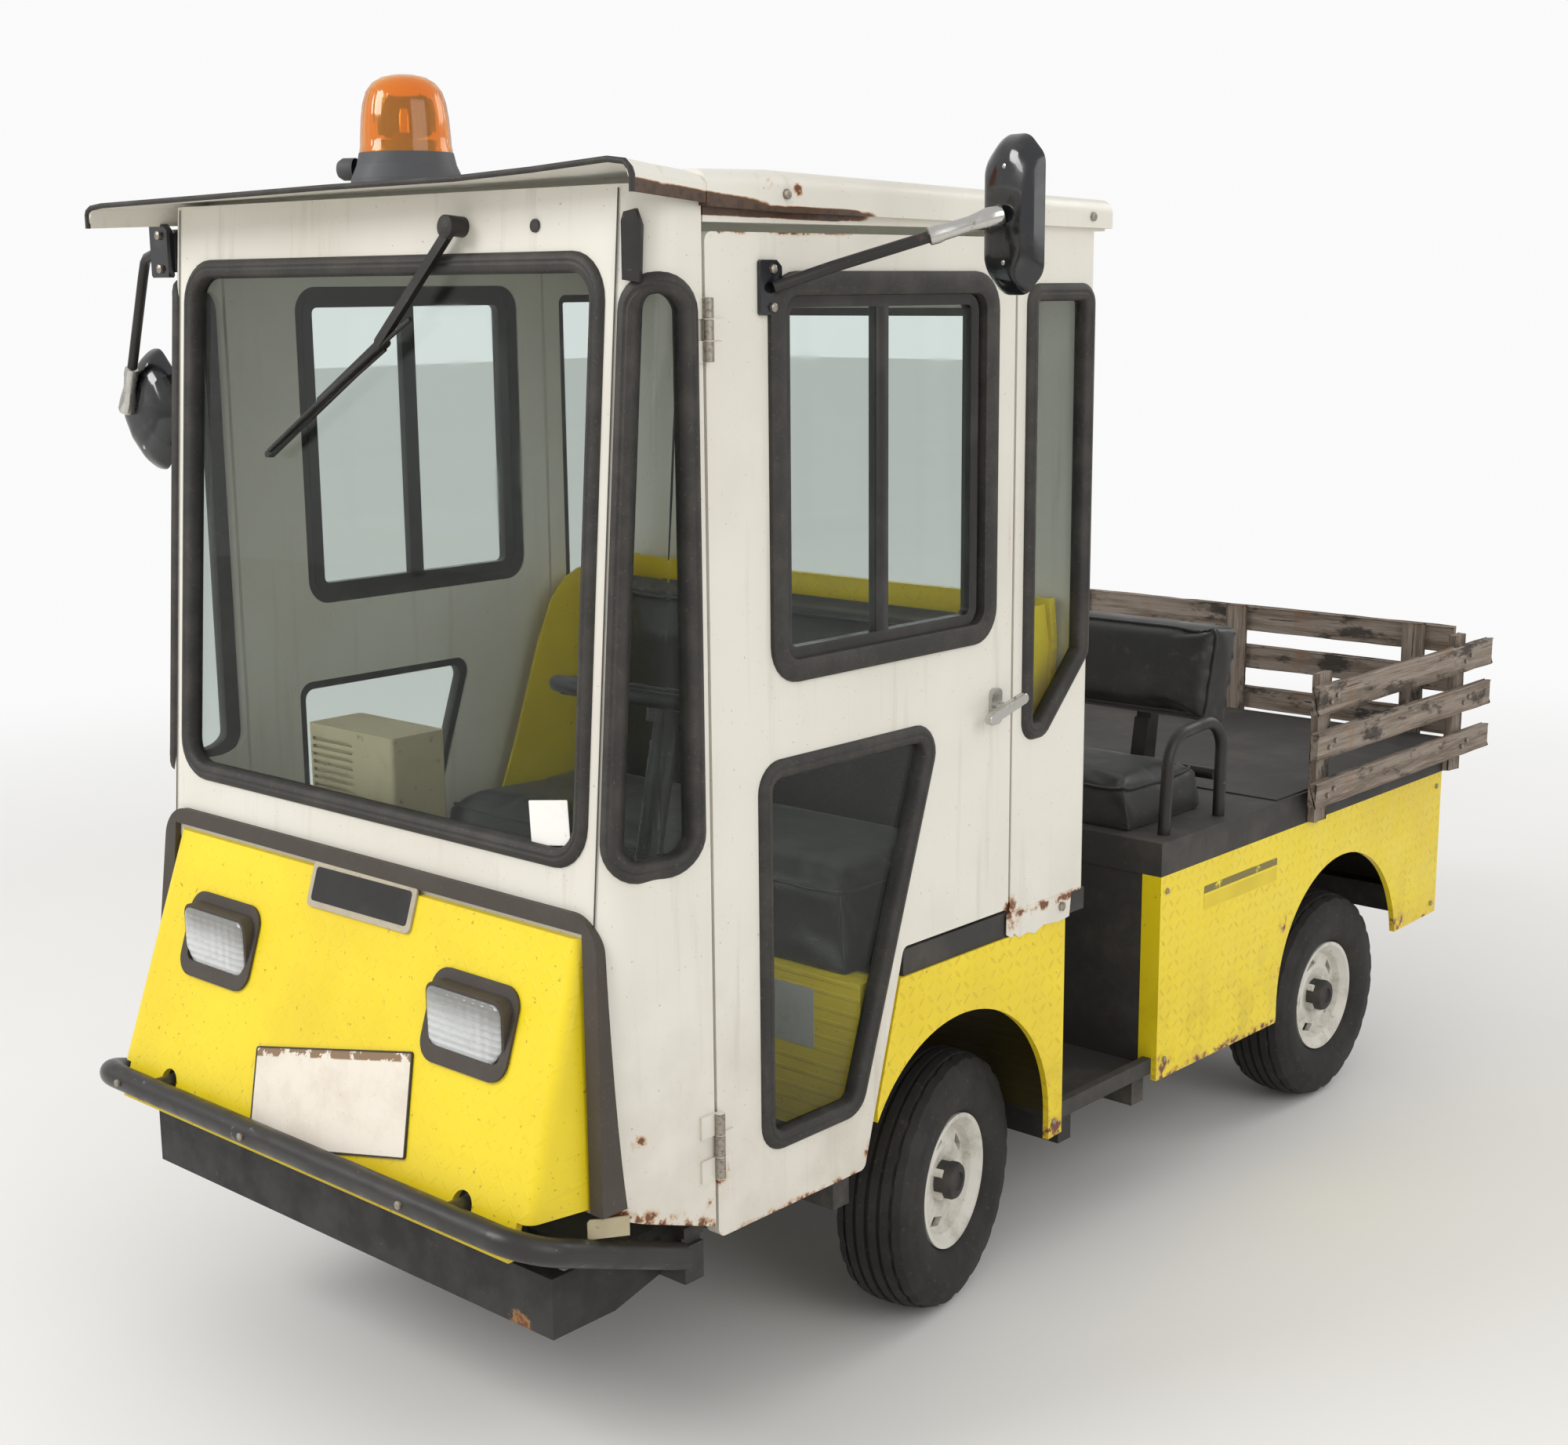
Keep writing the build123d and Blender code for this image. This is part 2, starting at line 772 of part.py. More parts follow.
# Beacon: a flared base and an amber dome
with BuildPart() as beacon_base:
    with BuildSketch(Plane.XZ.offset(-along(beacon_y))):
        with BuildLine():
            Polyline((0, roof_top - 6), (beacon_base_radius, roof_top - 6), (beacon_base_radius - 2, roof_top + 8),
                     (dome_radius + 6, roof_top + 28), (dome_radius + 2, roof_top + beacon_base_height),
                     (0, roof_top + beacon_base_height), close=True)
        make_face()
    revolve(axis=Axis((0, along(beacon_y), 0), (0, 0, 1)))
    add(roof.part, mode=Mode.SUBTRACT)
save(beacon_base, "beacon_base")
dome_floor = roof_top + beacon_base_height
with BuildPart() as dome:
    with BuildSketch(Plane(origin=(0, along(beacon_y), dome_floor), x_dir=(1, 0, 0), z_dir=(0, -1, 0))):
        with BuildLine():
            foot = Line((0, 0), (dome_radius, 0))
            wall_line = Line(foot @ 1, (dome_radius - 3, dome_height * 0.5))
            crown = Spline(wall_line @ 1, (dome_radius * 0.76, dome_height * 0.9), (0, dome_height),
                           tangents=[wall_line % 1, (-1, 0)])
            Line(crown @ 1, (0, 0))
        make_face()
    revolve(axis=Axis((0, along(beacon_y), 0), (0, 0, 1)))
save(dome, "beacon_dome")

# Nose: a yellow shell that leans out from the cab front, hollow at the back
front_plane = Plane(origin=(0, along(front_at_floor), 0), x_dir=(1, 0, 0), z_dir=(0, -1, front_lean))
lean_length = math.hypot(1, front_lean)
face_slope = (nose_out_bottom - nose_out_top) / (nose_top - nose_bottom) + front_lean
face_origin = front_at_floor + front_lean * nose_top - nose_out_top - face_slope * nose_top
face_plane = Plane(origin=(0, along(face_origin), 0), x_dir=(1, 0, 0), z_dir=(0, -1, face_slope))
face_length = math.hypot(1, face_slope)


def nose_body(inset):
    # From a wide outline on the cab front to a narrower one on the nose face
    top, bottom = nose_top - inset, nose_bottom - inset
    with BuildPart() as solid:
        with BuildSketch(front_plane.offset(-40)):
            with BuildLine():
                Polyline((-nose_bottom_half - 12 + inset, bottom * lean_length), (nose_bottom_half + 12 - inset, bottom * lean_length),
                         (nose_top_half + 6 - inset, top * lean_length), (-nose_top_half - 6 + inset, top * lean_length),
                         close=True)
            make_face()
        with BuildSketch(face_plane.offset(-inset)):
            with BuildLine():
                Polyline((-nose_face_bottom_half + inset, bottom * face_length), (nose_face_bottom_half - inset, bottom * face_length),
                         (nose_face_top_half - inset, (top - 10) * face_length),
                         (-nose_face_top_half + inset, (top - 10) * face_length), close=True)
            make_face()
        loft(ruled=True)
    return solid.part


with BuildPart() as lamp_boxes:
    for side in (1, -1):
        with BuildSketch(Plane.XZ.offset(-along(lamp_front + lamp_depth))) as lamp_face:
            with Locations((side * lamp_x, lamp_z)):
                RectangleRounded(lamp_width, lamp_height, 20)
        extrude(amount=lamp_depth)
with BuildPart() as lamp_hollows:
    for side in (1, -1):
        with BuildSketch(Plane.XZ.offset(-along(lamp_front + lamp_depth))):
            with Locations((side * lamp_x, lamp_z)):
                RectangleRounded(lamp_width - 26, lamp_height - 22, 14)
        extrude(amount=lamp_depth + 60)
with BuildPart() as nose:
    add(nose_body(0))
    fold_edges = nose.edges().filter_by_position(Axis.Y, along(-1100), along(lamp_front + 20))
    fillet([edge for edge in fold_edges if nose_top - 100 > edge.center().Z > nose_bottom + 5], nose_fold_radius)
    add(nose_body(nose_skin), mode=Mode.SUBTRACT)
    add(cab_outer, mode=Mode.SUBTRACT)
    for side in (1, -1):
        x = tuple(sorted((side * nose_side_notch, side * outside)))
        add(block(x, (along(-1000), along(-700)), (300, nose_side_bottom)), mode=Mode.SUBTRACT)
        with BuildSketch(Plane.XZ.offset(-along(-800))):
            with Locations((side * stub_x, stub_z)):
                Circle(stub_hole)
            with Locations((side * lamp_x, lamp_z)):
                RectangleRounded(lamp_width + 1, lamp_height + 1, 20)
        extrude(amount=300, mode=Mode.SUBTRACT)
save(nose, "nose_panel")

# Headlamps: housings that face straight ahead through the sloping nose, with recessed lenses
with BuildPart() as headlights:
    add(lamp_boxes.part)
    for side in (1, -1):
        with BuildSketch(Plane.XZ.offset(-along(lamp_front + 4))):
            with Locations((side * lamp_x, lamp_z)):
                RectangleRounded(lamp_width - 26, lamp_height - 22, 14)
        extrude(amount=10, mode=Mode.SUBTRACT)
    # Surround plates lying on the sloping nose
    with BuildPart(mode=Mode.PRIVATE) as surrounds:
        with BuildSketch(face_plane.offset(running_gap)):
            with Locations(*[(side * lamp_x, lamp_z * face_length) for side in (1, -1)]):
                RectangleRounded(*lamp_surround, 34)
                RectangleRounded(lamp_width - 16, lamp_height - 16, 14, mode=Mode.SUBTRACT)
        extrude(amount=surround_skin)
        add(lamp_hollows.part, mode=Mode.SUBTRACT)
    add(surrounds.part)
save(headlights, "headlights")

# Rubber trim round the nose, lying on the cab front and its corners
def trim_outline(inset):
    return [
        (-nose_bottom_half - 6 + inset, nose_bottom * lean_length),
        (nose_bottom_half + 6 - inset, nose_bottom * lean_length),
        (nose_top_half + 4 - inset, (nose_top - inset) * lean_length),
        (-nose_top_half - 4 + inset, (nose_top - inset) * lean_length),
    ]


with BuildPart() as trim:
    with BuildSketch(front_plane.offset(-60)) as trim_face:
        with BuildLine():
            Polyline(*trim_outline(-trim_width), close=True)
        make_face()
        fillet(trim_face.vertices().group_by(Axis.Y)[-1], 58)
        with BuildLine():
            Polyline((-nose_bottom_half - 6, 0), (nose_bottom_half + 6, 0), *trim_outline(0)[1:], (-nose_bottom_half - 6, 0))
        make_face(mode=Mode.SUBTRACT)
    extrude(amount=60 + trim_proud)
    add(block((-outside, outside), (along(-1000), along(-700)), (0, trim_bottom)), mode=Mode.SUBTRACT)
    add(cab_outer, mode=Mode.SUBTRACT)
    add(nose_body(-running_gap), mode=Mode.SUBTRACT)
save(trim, "nose_trim")

# Wiper: a boss above the windscreen, the arm and its blade
wiper_pivot = (205, 1868)
wiper_joint = (40, 1700)
wiper_tip = (-254, 1519)


def bar(start, end, width, base, height):
    # A flat bar lying along the cab front
    dx, dz = end[0] - start[0], end[1] - start[1]
    with BuildPart() as solid:
        with BuildSketch(front_plane.offset(base)):
            with Locations(((start[0] + end[0]) / 2, (start[1] + end[1]) / 2 * lean_length)):
                SlotOverall(math.hypot(dx, dz) + width, width, rotation=math.degrees(math.atan2(dz, dx)))
        extrude(amount=height)
    return solid.part


with BuildPart() as wiper:
    with BuildSketch(front_plane):
        with Locations((wiper_pivot[0], wiper_pivot[1] * lean_length)):
            Circle(15)
    extrude(amount=26)
    add(bar(wiper_pivot, wiper_joint, 16, 14, 10))
    add(bar(wiper_joint, ((wiper_joint[0] + wiper_tip[0]) / 2, (wiper_joint[1] + wiper_tip[1]) / 2), 9, 14, 9))
    add(bar(wiper_joint, wiper_tip, 10, 2, 13))
save(wiper, "wiper")

# Doors: flat panels hinged at their front edge, cut away over the front wheel
door_outline = [
    (hinge_line + panel_gap / 2, door_bottom),
    (door_cut_low, door_bottom),
    (door_cut_high, sill_height),
    (door_rear, sill_height),
    (door_rear, door_top),
    (hinge_line + panel_gap / 2, door_top),
]
door = from_shell(cab_shell.part, side_prism(door_outline, 14, side_band), [door_window(0), low_window(0)])
with BuildPart() as left_door:
    add(door.part)
    for low, high in hinges:
        third = (high - low) / 3
        with BuildSketch(Plane.XY.offset(low + third + running_gap)):
            with Locations((hinge_x, along(hinge_line))):
                Circle(hinge_radius)
            with Locations((half_width + 2, along(hinge_line + hinge_strap / 2 + 1))):
                Rectangle(4, hinge_strap)
            with Locations((hinge_x, along(hinge_line))):
                Circle(hinge_radius / 2 + running_gap, mode=Mode.SUBTRACT)
        extrude(amount=third - 2 * running_gap)
save(left_door, "door_left")
with BuildPart() as right_door:
    add(mirrored(left_door.part))
save(right_door, "door_right")

with BuildPart() as left_glass:
    add(glass_shell.part)
    with BuildPart(mode=Mode.PRIVATE) as door_panes:
        add(door_window(glass_gap))
        add(low_window(glass_gap))
    add(door_panes.part, mode=Mode.INTERSECT)
save(left_glass, "door_glass_left")
with BuildPart() as right_glass:
    add(mirrored(left_glass.part))
save(right_glass, "door_glass_right")

# Door handles: a T lever on a small plate
handle_y = 56
handle_z = 1085
with BuildPart() as left_handle:
    with BuildSketch(Plane.YZ.offset(half_width)):
        with Locations((along(handle_y), handle_z)):
            RectangleRounded(30, 62, 10)
    extrude(amount=6)
    with BuildSketch(Plane.YZ.offset(half_width)):
        with Locations((along(handle_y), handle_z)):
            Circle(9)
    extrude(amount=34)
    with BuildSketch(Plane.YZ.offset(half_width + 26)):
        with Locations((along(handle_y - 6), handle_z)):
            SlotOverall(112, 18, rotation=14)
    extrude(amount=12)
    fillet(left_handle.edges().group_by(Axis.X)[-1], 3)
save(left_handle, "door_handle_left")
with BuildPart() as right_handle:
    add(mirrored(left_handle.part))
save(right_handle, "door_handle_right")


# Mirrors: a bracket, a bent arm and a six-sided head with a domed back
near_head = (108, 36, 225)
far_head = (180, 40, 212)
mirror_edge = half_width + 285
mirror_dome = [
    # share of the depth, share of the outline
    (0, 1),
    (0.35, 1),
    (0.72, 0.88),
    (0.92, 0.66),
    (1, 0.4),
]


def mirror_set(foot, elbow, head, tilt, size):
    width, depth, height = size
    glass_plane = Plane(origin=(head[0], head[1] + depth / 2, head[2]), x_dir=(1, 0, 0), z_dir=(0, -1, 0))
    with BuildPart() as shell:
        for deep, share in mirror_dome:
            half, tall = share * width / 2, share * height / 2
            corners = [(0.28 * half, tall), (half, 0.52 * tall), (half, -0.52 * tall), (0.28 * half, -tall)]
            corners += [(-x, z) for x, z in reversed(corners)]
            with BuildSketch(glass_plane.rotated((0, 0, -tilt)).offset(deep * depth)) as face:
                with BuildLine():
                    Polyline(*corners, close=True)
                make_face()
                fillet(face.vertices(), 12 * share)
        loft(ruled=True)
    with BuildPart() as solid:
        with Locations(foot):
            Box(16, 46, 78)
        with BuildLine() as arm:
            Polyline(foot, elbow, head)
        with BuildSketch(Plane(arm.line @ 0, z_dir=arm.line % 0)):
            Circle(9)
        sweep(transition=Transition.ROUND)
        # Boss on the back of the head, where the arm is clamped
        with BuildSketch(glass_plane.offset(depth / 2)):
            Circle(19)
        extrude(amount=depth / 2 + 7)
        add(shell.part)
    return solid


bracket_out = 8
near_turn = 8
near_x = mirror_edge - near_head[0] / 2 * math.cos(math.radians(near_turn))
near_mirror = mirror_set((half_width + bracket_out, along(-500), 1778), (half_width + 60, along(-430), 1806),
                         (near_x, along(-235), 1878), near_turn, near_head)
save(near_mirror, "mirror_left")
far_mirror_y = -690
far_x = mirror_edge - far_head[0] / 2
far_mirror = mirror_set((-half_width - bracket_out, along(far_mirror_y), 1828),
                        (-half_width - 90, along(far_mirror_y), 1790),
                        (-far_x, along(far_mirror_y + 35), 1570), 0, far_head)
save(far_mirror, "mirror_right")

# Front body: yellow fenders, the seat base between them and its walls
fender_tip = 460
fender_gap = panel_gap + 1
fender_outline = [
    (door_edge(fender_tip) + fender_gap, fender_tip),
    (door_edge(fender_tip) + fender_gap, 380),
    (0, 240),
    (body_rear, body_low),
    (body_rear, body_top),
    (door_edge(body_top) + fender_gap, body_top),
]


def arch(centre, radius, x):
    # Round opening over a wheel, open at the bottom
    with BuildPart() as solid:
        with BuildSketch(Plane.YZ.offset(x[0])):
            with Locations((along(centre[0]), centre[1])):
                Circle(radius)
            with Locations((along(centre[0]), centre[1])):
                Rectangle(2 * radius, 400, align=(Align.CENTER, Align.MAX))
        extrude(amount=x[1] - x[0])
    return solid.part


with BuildPart() as front_body:
    for side in (1, -1):
        x = tuple(sorted((side * half_width, side * (half_width - body_skin))))
        with BuildPart(mode=Mode.PRIVATE) as fender:
            add(side_prism(fender_outline, 0, x))
            add(arch(arch_centre, arch_radius, (x[0] - 1, x[1] + 1)), mode=Mode.SUBTRACT)
        add(fender.part)
    inner = half_width - body_skin
    beside_door = half_width - wall - panel_gap
    add(block((-inner, inner), (along(door_cut_high), along(body_rear)), (body_top - body_skin, body_top)))
    add(block((-inner, inner), (along(body_rear - body_skin), along(body_rear)), (step_top, body_top)))
    add(block((-beside_door, beside_door), (along(body_front_wall), along(door_cut_high)), (body_top - body_skin, body_top)))
    add(block((-beside_door, beside_door), (along(body_front_wall), along(body_front_wall + body_skin)), (floor_high, body_top)))
save(front_body, "front_body")

# Cab sill: the dark rail between the front body and the cab walls
with BuildPart() as sill:
    for side in (1, -1):
        x = tuple(sorted((side * (half_width - 4), side * (half_width - sill_thickness))))
        add(block(x, (along(door_cut_high + 4), along(door_rear + panel_gap)), (body_top, sill_height - 7)))
        add(block(x, (along(door_rear + panel_gap), along(cab_rear - 2)), (body_top, sill_height - 12)))
    add(block((-half_width + sill_thickness, half_width - sill_thickness), (along(cab_rear - wall), along(cab_rear - 2)),
              (body_top, sill_height - 12)))
    add(block((-half_width + 4, half_width - 4), (along(body_rear - 40), along(cab_rear - 2)), (body_top, body_top + 14)))
save(sill, "cab_sill")

# Cab floor on the chassis, fitted inside the corners
with BuildPart() as cab_floor:
    add(cab_block(wall + running_gap))
    add(block((-outside, outside), (along(-900), along(floor_rear)), (floor_high - floor_skin, floor_high)), mode=Mode.INTERSECT)
    for side in (1, -1):
        # Clear of the swinging door, and of the end of the bumper tube in front of it
        x = tuple(sorted((side * (half_width - wall - panel_gap), side * outside)))
        add(block(x, (along(hinge_line - panel_gap), along(floor_rear)), (300, 500)), mode=Mode.SUBTRACT)
        x = tuple(sorted((side * (bumper_half - bumper_tube - 2 * panel_gap), side * outside)))
        add(block(x, (along(-1000), along(outrigger_y)), (300, 500)), mode=Mode.SUBTRACT)
    for side in (1, -1):
        # Bearers on the rails and feet on the outriggers
        x = tuple(sorted((side * (rail_x - rail_width / 2), side * (rail_x + rail_width / 2))))
        add(block(x, (along(-840), along(floor_rear)), (rail_front_z + rail_height, floor_high)))
        x = tuple(sorted((side * (outrigger_half - 60), side * (half_width - wall - panel_gap))))
        add(block(x, (along(outrigger_y), along(outrigger_y + member)), (rail_front_z + rail_height, floor_high)))
save(cab_floor, "cab_floor")

# Dashboard shelf under the windscreen, the heater on it and the steering column
dash_top = 930
dash_half = seam_x - 30
dash_skin = 16
dash_rear = -640
dash_hollow_front = -780
with BuildPart() as dashboard:
    add(cab_block(wall + running_gap))
    add(block((-dash_half, dash_half), (along(-860), along(dash_rear)), (front_panel_bottom, dash_top)), mode=Mode.INTERSECT)
    add(block((-dash_half + dash_skin, dash_half - dash_skin), (along(dash_hollow_front), along(dash_rear - dash_skin)),
              (front_panel_bottom - 10, dash_top - dash_skin)), mode=Mode.SUBTRACT)
save(dashboard, "dashboard")

heater_front = -752
with BuildPart() as heater:
    add(block((-215, 5), (along(heater_front), along(dash_rear - 5)), (dash_top, dash_top + 150)))
    fillet(heater.edges().filter_by(Axis.Z), 6)
    for level in range(9):
        slot = dash_top + 18 + level * 13
        add(block((-205, -100), (along(heater_front - 8), along(heater_front + 6)), (slot, slot + 6)), mode=Mode.SUBTRACT)
save(heater, "heater")

column_x = 270
column_foot = Vector(column_x, along(-560), floor_high)
column_head = Vector(column_x, along(-400), 1085)
column_axis = (column_head - column_foot).normalized()
column_radius = 20
with BuildPart() as column:
    with BuildSketch(Plane(column_foot - column_axis * 30, z_dir=column_axis)):
        Circle(column_radius)
    extrude(amount=(column_head - column_foot).length + 30)
    with BuildSketch(Plane.XY.offset(floor_high)):
        with Locations((column_foot.X, column_foot.Y)):
            RectangleRounded(90, 110, 12)
    extrude(amount=12)
    add(block((column_x - 120, column_x + 120), (along(-700), along(-400)), (200, floor_high)), mode=Mode.SUBTRACT)
save(column, "steering_column")

wheel_radius = 185
wheel_tube = 13
wheel_gap = 0.4
hub_plane = Plane(column_head + column_axis * wheel_gap, x_dir=(1, 0, 0), z_dir=column_axis)
with BuildPart() as steering_wheel:
    with BuildSketch(hub_plane):
        Circle(34)
    extrude(amount=34)
    with BuildSketch(Plane(hub_plane.origin + column_axis * 40 + Vector(wheel_radius, 0, 0), x_dir=(1, 0, 0),
                           z_dir=hub_plane.y_dir)):
        Circle(wheel_tube)
    revolve(axis=Axis(hub_plane.origin, column_axis))
    with BuildSketch(hub_plane.offset(22)):
        with PolarLocations(wheel_radius / 2 + 4, 3, start_angle=90):
            Rectangle(wheel_radius - 16, 26)
    extrude(amount=14)
save(steering_wheel, "steering_wheel")

# Seat in the cab: cushion, back and the yellow shell behind it
seat_side_gap = 45
seat_half = half_width - wall - seat_side_gap
shell_half = seat_half + 15
with BuildPart() as cab_cushion:
    add(block((-seat_half, seat_half), (along(-250), along(170)), (body_top, cushion_top - 60)))
    fillet(cab_cushion.edges().group_by(Axis.Z)[-1], 30)
save(cab_cushion, "cab_seat_cushion")
shell_outline = [(262, body_top + 14), (276, body_top + 14), (316, 1160), (304, 1236), (288, 1236), (300, 1156)]
with BuildPart() as seat_shell:
    add(side_prism(shell_outline, 0, (-shell_half, shell_half)))
save(seat_shell, "seat_shell")
back_outline = [(180, body_top + 14), (252, body_top + 14), (290, 1150), (272, 1205), (222, 1205), (196, 1150)]
with BuildPart() as cab_back_cushion:
    add(side_prism(back_outline, 12, (-seat_half, seat_half)))
save(cab_back_cushion, "cab_seat_back")

# Footwell floor between the cab and the rear body, with a raised edge each side
step_half = half_width - body_skin
step_lip = 18
with BuildPart() as step_floor:
    add(block((-step_half, step_half), (along(body_rear + 1), along(rear_body_front + 20)), (rail_mid_z + rail_height, step_top)))
    for side in (1, -1):
        x = tuple(sorted((side * step_half, side * (step_half - step_lip))))
        add(block(x, (along(body_rear + 1), along(rear_body_front)), (step_top, step_top + 16)))
save(step_floor, "step_floor")

# Rear body: yellow side panels with folded front flanges and round wheel arches
rear_outline = [
    (rear_body_front, rear_body_low),
    (1060, rear_body_low - 4),
    (1590, rear_body_back_low - 4),
    (rear_body_back, rear_body_back_low),
    (rear_body_back, rear_body_top),
    (rear_body_front, rear_body_top),
]
with BuildPart() as rear_side:
    add(side_prism(rear_outline, 0, (half_width - body_skin, half_width)))
    add(arch(rear_arch_centre, rear_arch_radius, (half_width - body_skin - 1, half_width + 1)), mode=Mode.SUBTRACT)
    add(block((half_width - flange, half_width - body_skin), (along(rear_body_front), along(rear_body_front + body_skin)),
              (step_top, rear_body_top)))
save(both_sides(rear_side.part), "rear_side_panels")

# Ends of the rear body: the battery box front facing the footwell, and the panel across the back
with BuildPart() as body_ends:
    add(block((-half_width + flange, half_width - flange), (along(rear_body_front + 2), along(rear_body_front + 14)),
              (step_top, rear_body_top)))
    add(block((-half_width + body_skin, half_width - body_skin), (along(rear_body_back - body_skin), along(rear_body_back)),
              (rear_body_back_low, rear_body_top)))
save(body_ends, "rear_body_ends")

# Deck: a dark pan with a deep edge, carrying the rear seat and the load
with BuildPart() as deck:
    add(block((-half_width, half_width), (along(rear_body_front), along(deck_back)), (deck_top - deck_skin, deck_top)))
    for side in (1, -1):
        x = tuple(sorted((side * half_width, side * (half_width - deck_edge))))
        add(block(x, (along(rear_body_front), along(deck_back)), (rear_body_top, deck_top)))
    for length in (rear_body_front, deck_back - deck_edge):
        add(block((-half_width, half_width), (along(length), along(length + deck_edge)), (rear_body_top, deck_top)))
    # Thin bed sheet over the load space
    add(block((-half_width + 8, half_width - 8), (along(bed_front), along(deck_back - 8)), (deck_top, deck_top + bed_skin)))
save(deck, "cargo_deck")

# Rear seat: cushion on the deck, backrest on two uprights
with BuildPart() as rear_cushion:
    add(block((-rear_cushion_half, rear_cushion_half), (along(rear_cushion_front), along(rear_cushion_back)),
              (deck_top, rear_cushion_top)))
    fillet(rear_cushion.edges().group_by(Axis.Z)[-1], 25)
save(rear_cushion, "rear_seat_cushion")

backrest_plane = Plane(origin=(0, along(backrest_y), (backrest_low + backrest_high) / 2), x_dir=(1, 0, 0),
                       z_dir=(0, -math.cos(math.radians(backrest_lean)), math.sin(math.radians(backrest_lean))))
with BuildPart() as backrest:
    with BuildSketch(backrest_plane):
        RectangleRounded(2 * backrest_half, backrest_high - backrest_low, 24)
    extrude(amount=backrest_thickness / 2, both=True)
save(backrest, "rear_backrest")

with BuildPart() as seat_frame:
    for side in (1, -1):
        with BuildSketch(Plane.YZ.offset(side * 300 - 17)):
            with BuildLine():
                Polyline((along(950), deck_top), (along(992), deck_top), (along(1030), backrest_low + 130),
                         (along(1002), backrest_low + 130), (along(974), backrest_low), (along(950), deck_top + 20), close=True)
            make_face()
        extrude(amount=34)
    for level in (deck_top + 55,):
        with BuildSketch(Plane.YZ.offset(-backrest_half + 20)):
            with Locations((along(972), level)):
                Circle(12)
        extrude(amount=2 * backrest_half - 40)
    add(backrest.part, mode=Mode.SUBTRACT)
save(seat_frame, "rear_seat_frame")

# Hip hoops: bent tubes at the ends of the rear seat
with BuildPart() as hoop:
    with BuildLine() as hoop_line:
        FilletPolyline(
            (hoop_x, along(hoop_front), deck_top - 12),
            (hoop_x, along(hoop_front + 13), 925),
            (hoop_x, along(hoop_front + 209), 938),
            (hoop_x, along(hoop_front + 203), deck_top - 12),
            radius=62,
        )
    with BuildSketch(Plane(hoop_line.line @ 0, z_dir=hoop_line.line % 0)):
        Circle(hoop_tube)
    sweep()
    add(block((hoop_x - 50, hoop_x + 50), (along(hoop_front - 50), along(hoop_front + 300)), (deck_top - 30, deck_top)),
        mode=Mode.SUBTRACT)
save(both_sides(hoop.part), "hip_hoops")

# Stake sides: three slats on posts, the posts set outside the deck edge
slats = [
    # low edge, height
    (711, 55),
    (812, 58),
    (906, 62),
]
side_posts = (1186, 1822)
gate_posts = (470, 0, -470)
post_low = 672
post_high = 990
with BuildPart() as left_stakes:
    for length in side_posts:
        add(block((half_width, half_width + post_thickness), (along(length - post_width / 2), along(length + post_width / 2)),
                  (post_low, post_high)))
    for low, height in slats:
        add(block((half_width + post_thickness, half_width + post_thickness + slat_thickness),
                  (along(stake_front), along(stake_back)), (low, low + height)))
save(left_stakes, "stake_side_left")
with BuildPart() as right_stakes:
    add(mirrored(left_stakes.part))
save(right_stakes, "stake_side_right")

with BuildPart() as gate:
    for x in gate_posts:
        add(block((x - post_width / 2, x + post_width / 2), (along(gate_y), along(gate_y + post_thickness)),
                  (post_low, post_high + 8)))
    for low, height in slats:
        add(block((-gate_half, gate_half), (along(gate_y + post_thickness), along(gate_y + post_thickness + slat_thickness)),
                  (low + 28, low + 28 + height)))
save(gate, "stake_gate_rear")

# Tail lamps: round lamps on the rear panel
with BuildPart() as tail_lamps:
    for side in (1, -1):
        with BuildSketch(Plane.XZ.offset(-along(rear_body_back))):
            with Locations((side * tail_lamp_x, tail_lamp_z)):
                Circle(46)
        extrude(amount=-26)
    fillet(tail_lamps.edges().group_by(Axis.Y)[-1], 8)
save(tail_lamps, "tail_lamps")
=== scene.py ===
import bpy
import bmesh
import math
import random
from mathutils import Matrix, Vector, noise
from mathutils.bvhtree import BVHTree
from mathutils.kdtree import KDTree


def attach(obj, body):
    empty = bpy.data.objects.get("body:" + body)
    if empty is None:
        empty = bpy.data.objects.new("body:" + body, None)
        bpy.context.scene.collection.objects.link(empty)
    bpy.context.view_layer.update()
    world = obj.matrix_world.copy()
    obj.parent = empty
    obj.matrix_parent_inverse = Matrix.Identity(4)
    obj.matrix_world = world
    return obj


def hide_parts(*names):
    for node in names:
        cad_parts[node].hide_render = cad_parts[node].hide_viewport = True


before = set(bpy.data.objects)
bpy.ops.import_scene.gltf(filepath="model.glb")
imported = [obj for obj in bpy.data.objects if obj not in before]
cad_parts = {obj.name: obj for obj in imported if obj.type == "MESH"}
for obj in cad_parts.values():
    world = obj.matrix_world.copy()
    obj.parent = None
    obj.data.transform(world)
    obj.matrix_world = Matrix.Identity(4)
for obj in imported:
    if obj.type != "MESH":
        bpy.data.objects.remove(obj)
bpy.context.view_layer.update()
frontAxle = -0.474  # lengths along the cart are measured back from the front axle


def along(length):
    return frontAxle + length


# Camera, at the photograph's place and angle

view = {
    "place": (2.704, -3.301, 1.777),
    "yaw": 41.93,
    "pitch": 11.40,
    "roll": -0.47,
    "lens": 49.455,
}


